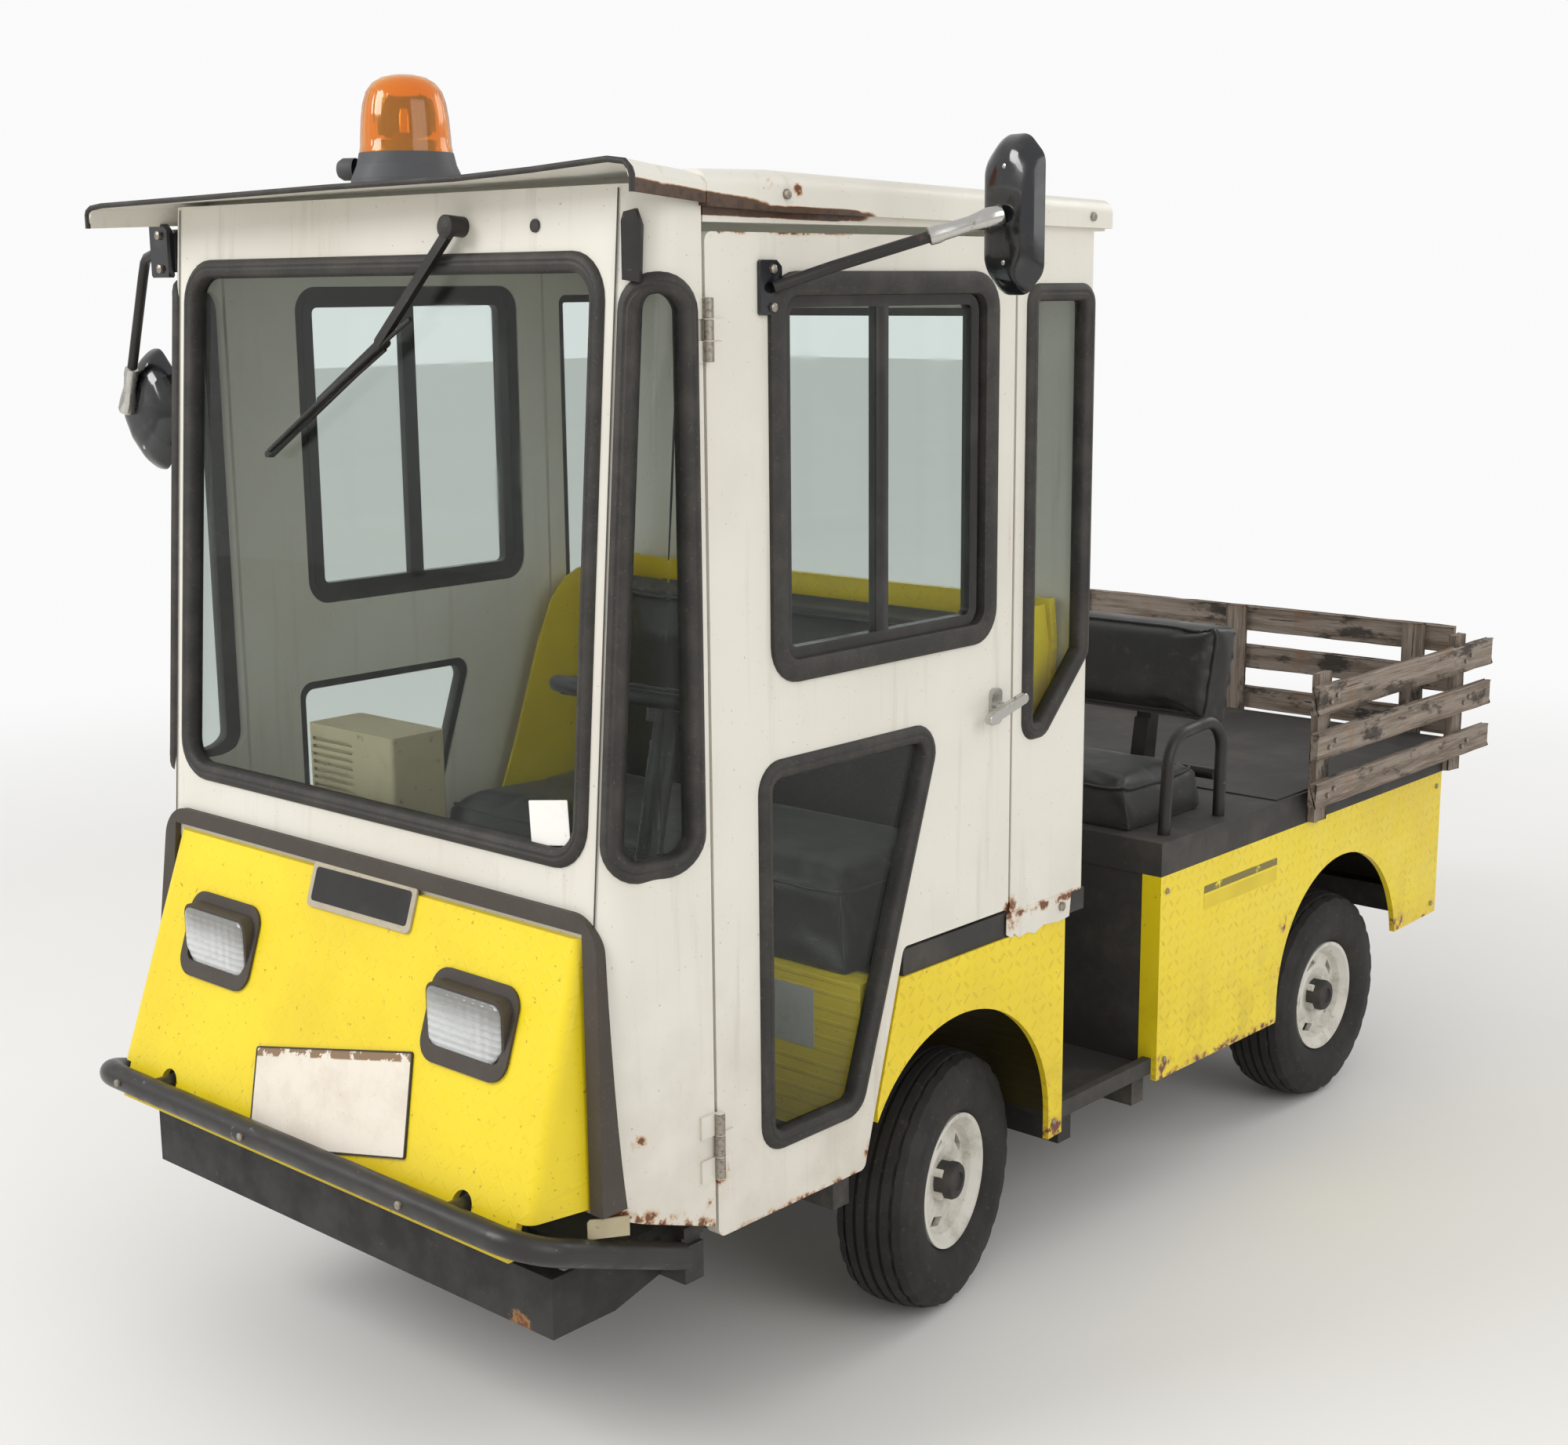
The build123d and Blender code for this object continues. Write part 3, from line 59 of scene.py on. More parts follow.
def placeCamera(spec):
    yaw, pitch, roll = (math.radians(spec[key]) for key in ("yaw", "pitch", "roll"))
    ahead = Vector((-math.sin(yaw) * math.cos(pitch), math.cos(yaw) * math.cos(pitch), -math.sin(pitch)))
    right = ahead.cross(Vector((0, 0, 1))).normalized()
    up = right.cross(ahead)
    right, up = (right * math.cos(roll) + up * math.sin(roll), up * math.cos(roll) - right * math.sin(roll))
    camera = bpy.data.objects.new("camera", bpy.data.cameras.new("camera"))
    bpy.context.collection.objects.link(camera)
    camera.matrix_world = Matrix.Translation(spec["place"]) @ Matrix((right, up, -ahead)).transposed().to_4x4()
    camera.data.lens = spec["lens"]
    camera.data.sensor_width = 36
    camera.data.sensor_fit = "HORIZONTAL"
    camera.data.clip_end = 200
    bpy.context.scene.camera = camera


placeCamera(view)


# Finishes: each one is a small graph of noise, masks and bump round one shader

def tint(code):
    parts = [int(code[i:i + 2], 16) / 255 for i in (1, 3, 5)]
    return tuple(v / 12.92 if v <= 0.04045 else ((v + 0.055) / 1.055) ** 2.4 for v in parts) + (1,)


class Finish:
    def __init__(self, name, colour, rough=0.5, metal=0.0, **more):
        self.mat = bpy.data.materials.new(name)
        self.mat.use_nodes = True
        self.tree = self.mat.node_tree
        self.shader = self.tree.nodes["Principled BSDF"]
        self.shader.inputs["Base Color"].default_value = tint(colour)
        self.shader.inputs["Roughness"].default_value = rough
        self.shader.inputs["Metallic"].default_value = metal
        for key, value in more.items():
            self.shader.inputs[key.replace("_", " ")].default_value = value
        self.place = self.add("ShaderNodeTexCoord").outputs["Object"]
        self.colour = None
        self.height = None

    def add(self, kind, wires=None, **settings):
        made = self.tree.nodes.new(kind)
        for key, value in settings.items():
            setattr(made, key, value)
        for key, value in (wires or {}).items():
            self.feed(value, made.inputs[key])
        return made

    def feed(self, value, socket):
        if isinstance(value, bpy.types.NodeSocket):
            self.tree.links.new(value, socket)
        else:
            socket.default_value = value

    def sum(self, kind, a, b=0.0, c=0.0):
        return self.add("ShaderNodeMath", {0: a, 1: b, 2: c}, operation=kind).outputs[0]

    def times(self, a, b):
        return self.sum("MULTIPLY", a, b)

    def stretch(self, scale):
        return self.add("ShaderNodeMapping", {"Vector": self.place, "Scale": scale}).outputs[0]

    def cloud(self, scale, detail=3.0, rough=0.55, vector=None):
        wires = {"Vector": vector or self.place, "Scale": scale, "Detail": detail, "Roughness": rough}
        return self.add("ShaderNodeTexNoise", wires).outputs["Fac"]

    def step(self, value, low, high, start=0.0, end=1.0):
        wires = {"Value": value, "From Min": low, "From Max": high, "To Min": start, "To Max": end}
        return self.add("ShaderNodeMapRange", wires, interpolation_type="SMOOTHSTEP").outputs[0]

    def paint(self, mask, colour):
        # Lays a colour over what is there, where the mask is
        under = self.colour if self.colour else self.shader.inputs["Base Color"].default_value[:]
        over = tint(colour) if isinstance(colour, str) else colour
        blend = self.add("ShaderNodeMix", {0: mask, 6: under, 7: over}, data_type="RGBA")
        self.colour = blend.outputs[2]

    def raise_(self, height, amount):
        part = self.times(height, amount)
        self.height = self.sum("ADD", self.height, part) if self.height else part

    def done(self, bump=0.5, distance=0.001, rough=None):
        if self.colour:
            self.feed(self.colour, self.shader.inputs["Base Color"])
        if rough:
            self.feed(rough, self.shader.inputs["Roughness"])
        if self.height:
            lift = self.add("ShaderNodeBump", {"Height": self.height, "Strength": bump, "Distance": distance})
            self.feed(lift.outputs[0], self.shader.inputs["Normal"])
        return self.mat

    def axes(self):
        return self.add("ShaderNodeSeparateXYZ", {0: self.place}).outputs

    def nearPlane(self, normal, offset, width):
        # 1 at a plane, fading to 0 over the width on either side
        reach = self.add("ShaderNodeVectorMath", {0: self.place, 1: normal}, operation="DOT_PRODUCT").outputs["Value"]
        away = self.sum("ABSOLUTE", self.sum("SUBTRACT", reach, offset))
        return self.step(away, 0.0, width, 1.0, 0.0)

    def strip(self, normal, offset, width, start, end):
        # A plane's mask between two lengths, which fades at its ends
        y = self.axes()[1]
        inside = self.times(self.step(y, start, start + 0.02), self.step(y, end - 0.12, end, 1.0, 0.0))
        return self.times(self.nearPlane(normal, offset, width), inside)

    def mask(self, item):
        return (self.strip if len(item) == 5 else self.nearPlane if len(item) == 3 else self.nearPoint)(*item)

    def nearPoint(self, point, radius):
        away = self.add("ShaderNodeVectorMath", {0: self.place, 1: point}, operation="DISTANCE").outputs["Value"]
        return self.step(away, 0.0, radius, 1.0, 0.0)

    def union(self, masks):
        total = masks[0]
        for mask in masks[1:]:
            total = self.sum("MAXIMUM", total, mask)
        return total

    def rust(self, masks, spread=0.55, strength=1.0):
        # Rust that eats in from the masked edges in ragged patches, brown at its heart and orange round it
        ragged = self.cloud(42.0, 6.0, 0.7)
        edge = self.times(self.union(masks), self.step(ragged, 0.30, 0.72))
        stain = self.times(self.step(edge, spread * 0.35, spread), 0.75 * strength)
        heart = self.times(self.step(edge, spread * 0.8, spread * 1.15), strength)
        self.paint(stain, "#b98548")
        self.paint(heart, "#6b3a1a")
        self.raise_(heart, -0.6)


paintSpec = {
    "white": "#e4e0d5",
    "whiteShade": "#cfc9ba",
    "whiteGrime": "#a59a86",
    "yellow": "#f2d81c",
    "yellowShade": "#dcbc14",
    "speck": "#7a5c2c",
    "lugPitch": 0.025,
}


def whitePaint(name, rust=(), peel=()):
    look = Finish(name, paintSpec["white"], rough=0.36, Coat_Weight=0.25, Coat_Roughness=0.18)
    look.paint(look.times(look.step(look.cloud(1.7, 5.0), 0.35, 0.7), 0.55), paintSpec["whiteShade"])
    runs = look.cloud(1.0, 4.0, 0.6, look.stretch((26.0, 26.0, 1.6)))
    look.paint(look.times(look.step(runs, 0.56, 0.80), 0.35), paintSpec["whiteGrime"])
    low = look.step(look.axes()[2], 0.40, 1.0, 0.28, 0.0)
    look.paint(look.times(low, look.step(look.cloud(9.0, 5.0), 0.3, 0.7)), paintSpec["whiteGrime"])
    specks = look.step(look.cloud(170.0, 2.0), 0.71, 0.76)
    look.paint(look.times(specks, 0.5), paintSpec["speck"])
    scuffs = look.step(look.cloud(1.0, 5.0, 0.7, look.stretch((90.0, 90.0, 7.0))), 0.70, 0.74)
    look.paint(look.times(scuffs, 0.35), "#8d8779")
    if rust:
        look.rust([look.mask(item) for item in rust])
    if peel:
        # Bands where the paint is gone down to brown metal, with an orange fringe
        near = look.step(look.axes()[0], 0.3, 0.5)
        bands = look.times(look.union([look.mask(item) for item in peel]), near)
        bare = look.times(bands, look.step(look.cloud(20.0, 5.0, 0.65), 0.22, 0.62, 0.55, 1.25))
        look.paint(look.step(bare, 0.18, 0.34), "#a06c3c")
        look.paint(look.step(bare, 0.30, 0.42), "#4f3826")
        look.paint(look.times(look.step(bare, 0.5, 0.7), look.step(look.cloud(70.0, 4.0), 0.45, 0.65)), "#3c2619")
        look.raise_(look.step(bare, 0.30, 0.42), -0.8)
    look.raise_(look.cloud(3.2, 3.0), 3.0)
    look.raise_(look.cloud(160.0, 2.0), 0.12)
    return look.done(0.35, 0.0012, rough=look.step(look.cloud(11.0), 0.3, 0.7, 0.30, 0.46))


def yellowPaint(name, across, rust=(), lift=1.0):
    # Painted tread plate: short raised lugs that turn left and right by turns, across is the plate's level axis
    look = Finish(name, paintSpec["yellow"], rough=0.38, Coat_Weight=0.2, Coat_Roughness=0.2)
    x, y, z = look.axes()[0], look.axes()[1], look.axes()[2]
    level = x if across == "x" else y
    pitch = paintSpec["lugPitch"]
    u, v = look.sum("DIVIDE", level, pitch), look.sum("DIVIDE", z if across != "flat" else x, pitch)
    column, row = look.sum("FLOOR", u), look.sum("FLOOR", v)
    chequer = look.sum("FLOORED_MODULO", look.sum("ADD", column, row), 2.0)
    turn = look.sum("SUBTRACT", look.times(chequer, 2.0), 1.0)
    du = look.sum("SUBTRACT", look.sum("SUBTRACT", u, column), 0.5)
    dv = look.sum("SUBTRACT", look.sum("SUBTRACT", v, row), 0.5)
    longWay = look.sum("ADD", du, look.times(turn, dv))
    shortWay = look.sum("SUBTRACT", du, look.times(turn, dv))
    reaches = [look.sum("POWER", look.sum("DIVIDE", way, half), 2.0) for way, half in ((longWay, 0.66), (shortWay, 0.17))]
    away = look.sum("ADD", *reaches)
    lugs = look.step(away, 0.35, 1.0, 1.0, 0.0)
    look.paint(look.times(look.step(look.cloud(2.6, 5.0), 0.35, 0.7), 0.6), paintSpec["yellowShade"])
    scuffed = look.times(lugs, look.step(look.cloud(15.0), 0.4, 0.65))
    look.paint(look.times(scuffed, 0.22 * lift), "#c79a12")
    specks = look.step(look.cloud(120.0, 3.0), 0.66, 0.72)
    look.paint(look.times(specks, 0.55), paintSpec["speck"])
    low = look.step(z, 0.28, 0.55, 0.35, 0.0)
    look.paint(look.times(low, look.step(look.cloud(12.0, 5.0), 0.4, 0.75)), "#a8801c")
    if across == "y":
        # Painted shade: the inner sides of the wheel arches are painted near black, standing in for the dark of those
        # recesses
        inside = look.step(look.sum("ABSOLUTE", x), 0.572, 0.580, 1.0, 0.0)
        archShade = look.union([
            look.times(look.step(y, along(a), along(a + 0.02)), look.step(y, along(b), along(b + 0.02), 1.0, 0.0))
            for a, b in ((-0.22, 0.42), (1.04, 1.62))])
        look.paint(look.times(look.times(inside, archShade), 0.96), "#1d1b18")
    if rust:
        look.rust([look.mask(item) for item in rust])
    look.raise_(lugs, lift)
    look.raise_(look.cloud(4.0, 3.0), 1.2)
    return look.done(0.55, 0.0011, rough=look.step(look.cloud(14.0), 0.3, 0.7, 0.32, 0.5))


def fadedDecal(name="fadedDecal"):
    # A blank decal that has mostly worn off, with one dark line left along its top
    look = Finish(name, paintSpec["yellow"], rough=0.42)
    z = look.axes()[2]
    worn = look.step(look.cloud(7.0, 2.0), 0.25, 0.75, 0.2, 0.5)
    look.paint(look.times(worn, look.step(z, 0.5995, 0.6015, 1.0, 0.0)), "#b39a26")
    line = look.times(look.step(z, 0.6040, 0.6050), look.step(look.cloud(30.0, 5.0, 0.7), 0.34, 0.44))
    look.paint(look.times(line, 0.85), "#4b4736")
    look.raise_(look.cloud(90.0, 3.0), 0.2)
    return look.done(0.3, 0.0004, rough=look.step(worn, 0.0, 1.0, 0.36, 0.55))


def wornBlack(name, colour="#232220", wear="#6c655c", rough=0.42, amount=0.5, rust=()):
    look = Finish(name, colour, rough=rough)
    look.paint(look.times(look.step(look.cloud(5.0, 6.0, 0.65), 0.45, 0.75), 0.5), "#3a3733")
    chips = look.step(look.cloud(60.0, 5.0, 0.7), 0.64, 0.70)
    look.paint(look.times(chips, amount), wear)
    rusty = look.times(look.step(look.cloud(24.0, 6.0, 0.7), 0.66, 0.74), amount)
    look.paint(rusty, "#5b3a25")
    if rust:
        look.rust([look.mask(item) for item in rust])
    look.raise_(look.cloud(90.0, 4.0), 0.5)
    return look.done(0.3, 0.0008, rough=look.step(look.cloud(18.0), 0.3, 0.7, rough - 0.08, rough + 0.16))


def dullSteel(name="dullSteel", colour="#2c2b29", dust="#6f675b"):
    look = Finish(name, colour, rough=0.68)
    look.paint(look.times(look.step(look.cloud(6.0, 6.0, 0.7), 0.42, 0.75), 0.5), dust)
    look.paint(look.times(look.step(look.cloud(33.0, 6.0, 0.7), 0.62, 0.72), 0.6), "#5c3d27")
    look.raise_(look.cloud(80.0, 5.0), 0.8)
    return look.done(0.4, 0.001)


def rubberFinish(name="windowRubber", colour="#2b2825"):
    look = Finish(name, colour, rough=0.62)
    look.paint(look.times(look.step(look.cloud(14.0, 5.0, 0.65), 0.4, 0.7), 0.45), "#4b4640")
    look.paint(look.times(look.step(look.cloud(210.0, 3.0), 0.62, 0.7), 0.3), "#6f685e")
    look.raise_(look.cloud(260.0, 3.0), 0.5)
    return look.done(0.3, 0.0006)


def tyreFinish(name="tyreRubber"):
    look = Finish(name, "#1b1a19", rough=0.78)
    look.paint(look.times(look.step(look.cloud(7.0, 6.0, 0.7), 0.35, 0.75), 0.55), "#3c3833")
    look.paint(look.times(look.step(look.cloud(90.0, 4.0), 0.6, 0.72), 0.35), "#57504a")
    look.raise_(look.cloud(140.0, 4.0), 0.6)
    return look.done(0.35, 0.0008)


def wheelPaint(name="wheelPaint"):
    look = Finish(name, "#d8d4ca", rough=0.42)
    look.paint(look.times(look.step(look.cloud(13.0, 6.0, 0.7), 0.42, 0.7), 0.55), "#8f8677")
    look.paint(look.times(look.step(look.cloud(48.0, 6.0, 0.75), 0.6, 0.7), 0.7), "#6b4a30")
    look.raise_(look.cloud(70.0, 4.0), 0.5)
    return look.done(0.3, 0.0008)


def plasticFinish(name, colour="#191818", rough=0.45, grain=420.0):
    look = Finish(name, colour, rough=rough)
    look.paint(look.times(look.step(look.cloud(8.0, 5.0, 0.65), 0.45, 0.75), 0.35), "#4a4743")
    look.raise_(look.cloud(grain, 2.0), 0.5)
    return look.done(0.3, 0.0005, rough=look.step(look.cloud(12.0), 0.3, 0.7, rough - 0.06, rough + 0.12))


def glossBlack(name="glossBlack"):
    look = Finish(name, "#0a0c12", rough=0.12, Coat_Weight=0.6, Coat_Roughness=0.06)
    look.paint(look.times(look.step(look.cloud(22.0, 6.0, 0.7), 0.52, 0.75), 0.35), "#4a4843")
    return look.done(rough=look.step(look.cloud(18.0, 5.0), 0.35, 0.7, 0.10, 0.32))


def vinylFinish(name="blackVinyl"):
    look = Finish(name, "#141312", rough=0.42, Sheen_Weight=0.15)
    cells = look.add("ShaderNodeTexVoronoi", {"Vector": look.place, "Scale": 330.0}, feature="DISTANCE_TO_EDGE")
    grain = look.step(cells.outputs["Distance"], 0.0, 0.25)
    look.paint(look.times(look.step(look.cloud(5.0, 6.0, 0.7), 0.45, 0.75), 0.55), "#3b3732")
    look.paint(look.times(look.step(look.cloud(40.0, 5.0), 0.6, 0.75), 0.3), "#5a544c")
    look.raise_(grain, 0.5)
    look.raise_(look.cloud(28.0, 4.0), 1.2)
    return look.done(0.45, 0.0006, rough=look.step(look.cloud(10.0), 0.3, 0.7, 0.34, 0.52))


def woodFinish(name, seed):
    # Grey weathered board, its grain along the piece's own X
    look = Finish(name, "#93867a", rough=0.86)
    drift = look.add("ShaderNodeMapping", {"Vector": look.place, "Location": (seed * 3.1, seed, -seed),
                                           "Scale": (3.0, 60.0, 60.0)})
    grain = look.cloud(1.0, 8.0, 0.62, drift.outputs[0])
    fine = look.add("ShaderNodeMapping", {"Vector": look.place, "Location": (seed, 0, seed),
                                          "Scale": (14.0, 420.0, 420.0)})
    fibre = look.cloud(1.0, 4.0, 0.6, fine.outputs[0])
    look.paint(look.step(grain, 0.42, 0.62, 0.0, 0.80), "#66584a")
    look.paint(look.step(fibre, 0.52, 0.74, 0.0, 0.7), "#b5a897")
    blotch = look.add("ShaderNodeMapping", {"Vector": look.place, "Location": (seed, seed * 2, 0),
                                            "Scale": (6.0, 16.0, 16.0)})
    stain = look.cloud(1.0, 7.0, 0.7, blotch.outputs[0])
    look.paint(look.step(stain, 0.53, 0.62, 0.0, 0.85), "#2e2a27")
    look.paint(look.times(look.step(look.cloud(9.0, 5.0), 0.58, 0.72), 0.5), "#8b6647")
    look.raise_(grain, 1.4)
    look.raise_(fibre, 0.8)
    cracks = look.step(grain, 0.30, 0.36)
    look.paint(look.sum("SUBTRACT", 1.0, cracks), "#241e1a")
    look.raise_(cracks, 1.0)
    return look.done(0.8, 0.0018)


def glassFinish(name="windowGlass"):
    look = Finish(name, "#eaf0ee", rough=0.02, Transmission_Weight=1.0, IOR=1.22)
    return look.done(rough=look.step(look.cloud(6.0, 5.0), 0.45, 0.75, 0.0, 0.07))


def lampLensFinish(name="lampLens"):
    look = Finish(name, "#f4f6f6", rough=0.08, Transmission_Weight=0.45, IOR=1.5, Coat_Weight=0.5)
    x, z = look.axes()[0], look.axes()[2]
    ribs = look.sum("SINE", look.times(z, 2 * math.pi / 0.011))
    flutes = look.sum("SINE", look.times(x, 2 * math.pi / 0.020))
    # Painted shade: the lens's upper part is painted grey, darker towards its top
    shade = look.sum("ADD", z, look.times(look.cloud(9.0, 3.0), 0.03))
    look.paint(look.step(shade, 0.715, 0.765, 0.0, 0.75), "#7f7d75")
    # Painted shade along the ribs: the rib crests are painted as grey lines
    look.paint(look.step(ribs, 0.6, 1.0, 0.0, 0.30), "#9c9b95")
    look.raise_(ribs, 0.6)
    look.raise_(flutes, 0.3)
    look.paint(look.times(look.step(look.cloud(60.0, 4.0), 0.5, 0.75), 0.25), "#b9b6a8")
    return look.done(0.6, 0.0015)


def reflectorFinish(name="lampReflector"):
    look = Finish(name, "#d9dcdd", rough=0.14, metal=1.0)
    look.raise_(look.cloud(40.0, 2.0), 1.0)
    return look.done(0.3, 0.001)


def amberFinish(name="amberLens"):
    look = Finish(name, "#ffb02c", rough=0.10, Transmission_Weight=0.80, IOR=1.40, Coat_Weight=0.4)
    look.paint(look.times(look.step(look.cloud(12.0, 5.0), 0.4, 0.75), 0.35), "#ff981e")
    look.raise_(look.cloud(30.0, 3.0), 0.4)
    return look.done(0.2, 0.001)


def mirrorFinish(name="mirrorGlass"):
    look = Finish(name, "#c9d0d2", rough=0.03, metal=1.0)
    look.paint(look.times(look.step(look.cloud(30.0, 6.0, 0.7), 0.5, 0.8), 0.3), "#8d9293")
    return look.done(rough=look.step(look.cloud(14.0, 5.0), 0.5, 0.8, 0.02, 0.12))


def chromeFinish(name="wornChrome"):
    look = Finish(name, "#c4c2bd", rough=0.2, metal=1.0)
    look.paint(look.step(look.cloud(70.0, 6.0, 0.7), 0.58, 0.72, 0.0, 0.7), "#7c6a55")
    return look.done(rough=look.step(look.cloud(45.0, 5.0), 0.35, 0.75, 0.14, 0.5))


def zincFinish(name="boltZinc"):
    look = Finish(name, "#a39d92", rough=0.45, metal=0.85)
    look.paint(look.step(look.cloud(150.0, 5.0, 0.7), 0.45, 0.7, 0.0, 0.8), "#6e5540")
    return look.done()


def plateFinish(name, colour, edge):
    # A bare sign plate with a frayed, darker rim
    look = Finish(name, colour, rough=0.55)
    look.paint(look.times(look.step(look.cloud(18.0, 6.0, 0.7), 0.45, 0.75), 0.4), edge)
    look.paint(look.step(look.cloud(120.0, 4.0), 0.64, 0.72, 0.0, 0.5), "#8e7f6d")
    return look.done()


def beigeFinish(name="heaterPaint"):
    look = Finish(name, "#b5a888", rough=0.5)
    look.paint(look.times(look.step(look.cloud(9.0, 6.0, 0.7), 0.45, 0.75), 0.5), "#8f8163")
    look.paint(look.step(look.cloud(50.0, 5.0), 0.62, 0.72, 0.0, 0.6), "#6c4b2f")
    return look.done()


finishes = {
    "frontWhite": whitePaint("frontWhite", [((0.0, 0.0, 1.0), 0.848, 0.014)]),
    "cornerWhite": whitePaint("cornerWhite", [
        ((0.0, 0.37, 0.93), 0.93 * 0.386 + 0.37 * along(-0.633), 0.030),
        ((0.585, along(-0.790), 0.566), 0.024),
        ((0.59, along(-0.64), 0.43), 0.030),
        ((0.535, along(-0.83), 0.905), 0.018),
    ]),
    "doorWhite": whitePaint("doorWhite", [
        ((0.0, 0.0, 1.0), 0.362, 0.022),
        ((0.0, 0.0, 1.0), 1.857, 0.010, along(-0.62), along(-0.25)),
        ((0.59, along(-0.265), 0.40), 0.050),
        ((0.59, along(0.10), 0.72), 0.030),
        ((0.59, along(-0.625), 0.47), 0.040),
    ]),
    "quarterWhite": whitePaint("quarterWhite", [
        ((0.0, 0.0, 1.0), 0.704, 0.020),
        ((0.59, along(0.11), 0.71), 0.060),
    ]),
    "roofWhite": whitePaint("roofWhite", [
        ((0.605, along(-0.515), 1.925), 0.022),
        ((0.605, along(-0.45), 1.915), 0.020),
    ], [
        ((0.0, 0.075, 1.0), 1.900 + 0.075 * along(-0.70), 0.019, along(-0.82), along(-0.46)),
        ((0.0, 0.016, 1.0), 1.8835 + 0.016 * along(-0.50), 0.013, along(-0.66), along(-0.24)),
    ]),
    "noseYellow": yellowPaint("noseYellow", "x", [((0.30, along(-0.95), 0.425), 0.05)], 0.40),
    "bodyYellow": yellowPaint("bodyYellow", "y", [
        ((0.0, 0.0, 1.0), 0.262, 0.026, along(0.60), along(1.14)),
        ((0.59, along(0.625), 0.285), 0.055),
        ((0.59, along(1.07), 0.36), 0.045),
        ((0.59, along(1.08), 0.47), 0.035),
        ((0.59, along(1.61), 0.345), 0.060),
        ((0.59, along(1.74), 0.338), 0.030),
        ((0.59, along(0.35), 0.262), 0.035),
        ((0.59, along(0.62), 0.28), 0.060),
        ((0.59, along(0.25), 0.27), 0.060),
    ], 1.7),
    "shellYellow": yellowPaint("shellYellow", "x"),
    "bumperBlack": wornBlack("bumperBlack", "#2a2826", "#8a8175", 0.36, 0.55),
    "apronBlack": wornBlack("apronBlack", "#252423", "#5f5850", 0.60, 0.35, [
        ((0.44, along(-0.90), 0.276), 0.050),
        ((0.49, along(-0.88), 0.280), 0.030),
    ]),
    "tubeBlack": wornBlack("tubeBlack", "#1f1d1b", "#6e6255", 0.40, 0.6),
    "dullSteel": dullSteel(),
    "deckSteel": dullSteel("deckSteel", "#343230", "#5a544c"),
    "windowRubber": rubberFinish(),
    "tyreRubber": tyreFinish(),
    "wheelPaint": wheelPaint(),
    "blackPlastic": plasticFinish("blackPlastic"),
    "frameBlack": plasticFinish("frameBlack", "#1d1b19", 0.35, 200.0),
    "glossBlack": glossBlack(),
    "blackVinyl": vinylFinish(),
    "windowGlass": glassFinish(),
    "lampLens": lampLensFinish(),
    "lampReflector": reflectorFinish(),
    "amberLens": amberFinish(),
    "wornChrome": chromeFinish(),
    "mirrorGlass": mirrorFinish(),
    "beaconGrey": plasticFinish("beaconGrey", "#46474a", 0.55, 260.0),
    "labelSilver": plateFinish("labelSilver", "#b9b8b4", "#85827b"),
    "fadedDecal": fadedDecal(),
    "boltZinc": zincFinish(),
    "badgeGrey": plateFinish("badgeGrey", "#b5ab95", "#857c69"),
    "stickerWhite": plateFinish("stickerWhite", "#f1efe9", "#dcd8cd"),
    "heaterPaint": beigeFinish(),
    "redLens": Finish("redLens", "#8e1510", rough=0.15, Transmission_Weight=0.3, Coat_Weight=0.5).done(),
    "seamDark": rubberFinish("seamDark", "#3a3631"),
    "trimBrown": rubberFinish("trimBrown", "#423a33"),
}

cadFinish = {
    "dullSteel": "chassis_frame front_axle rear_axle drive_motor leaf_springs cab_floor "
                 "knuckle_left knuckle_right",
    "blackPlastic": "battery_pack dashboard steering_wheel",
    "bumperBlack": "bumper",
    "apronBlack": "front_apron",
    "noseYellow": "nose_panel",
    "trimBrown": "nose_trim headlights",
    "frontWhite": "cab_front",
    "cornerWhite": "cab_corners",
    "quarterWhite": "cab_quarters cab_rear_wall",
    "roofWhite": "roof",
    "windowGlass": "cab_glass door_glass_left door_glass_right",
    "beaconGrey": "beacon_base",
    "amberLens": "beacon_dome",
    "tubeBlack": "wiper steering_column rear_seat_frame hip_hoops",
    "glossBlack": "mirror_left mirror_right",
    "deckSteel": "cab_sill step_floor rear_body_ends cargo_deck",
    "heaterPaint": "heater",
    "bodyYellow": "front_body rear_side_panels",
    "blackVinyl": "cab_seat_cushion cab_seat_back rear_seat_cushion rear_backrest",
    "shellYellow": "seat_shell",
    "redLens": "tail_lamps",
    "doorWhite": "door_left door_right",
    "wornChrome": "door_handle_left door_handle_right",
    "wheelPaint": "rim_front_left rim_front_right rim_rear_left rim_rear_right",
}
for finish, names in cadFinish.items():
    for name in names.split():
        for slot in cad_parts[name].material_slots:
            slot.material = finishes[finish]
print("finishes laid on the CAD pieces")


# Mesh helpers

def addPiece(name, verts, faces, finish, body, slot, smooth=True, place=None):
    mesh = bpy.data.meshes.new(name)
    mesh.from_pydata([tuple(v) for v in verts], [], faces)
    build = bmesh.new()
    build.from_mesh(mesh)
    bmesh.ops.remove_doubles(build, verts=build.verts, dist=1e-6)
    bmesh.ops.recalc_face_normals(build, faces=build.faces)
    build.to_mesh(mesh)
    build.free()
    for face in mesh.polygons:
        face.use_smooth = smooth
    mesh.materials.append(finishes[finish] if isinstance(finish, str) else finish)
    piece = bpy.data.objects.new(name, mesh)
    bpy.context.collection.objects.link(piece)
    if place is not None:
        piece.matrix_world = place
    if smooth:
        sharpen(piece)
    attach(piece, body)
    return piece


def sharpen(piece, angle=38):
    # Keeps real corners crisp on smooth shaded meshes
    build = bmesh.new()
    build.from_mesh(piece.data)
    for edge in build.edges:
        if len(edge.link_faces) == 2 and edge.calc_face_angle(0) > math.radians(angle):
            edge.smooth = False
    build.to_mesh(piece.data)
    build.free()


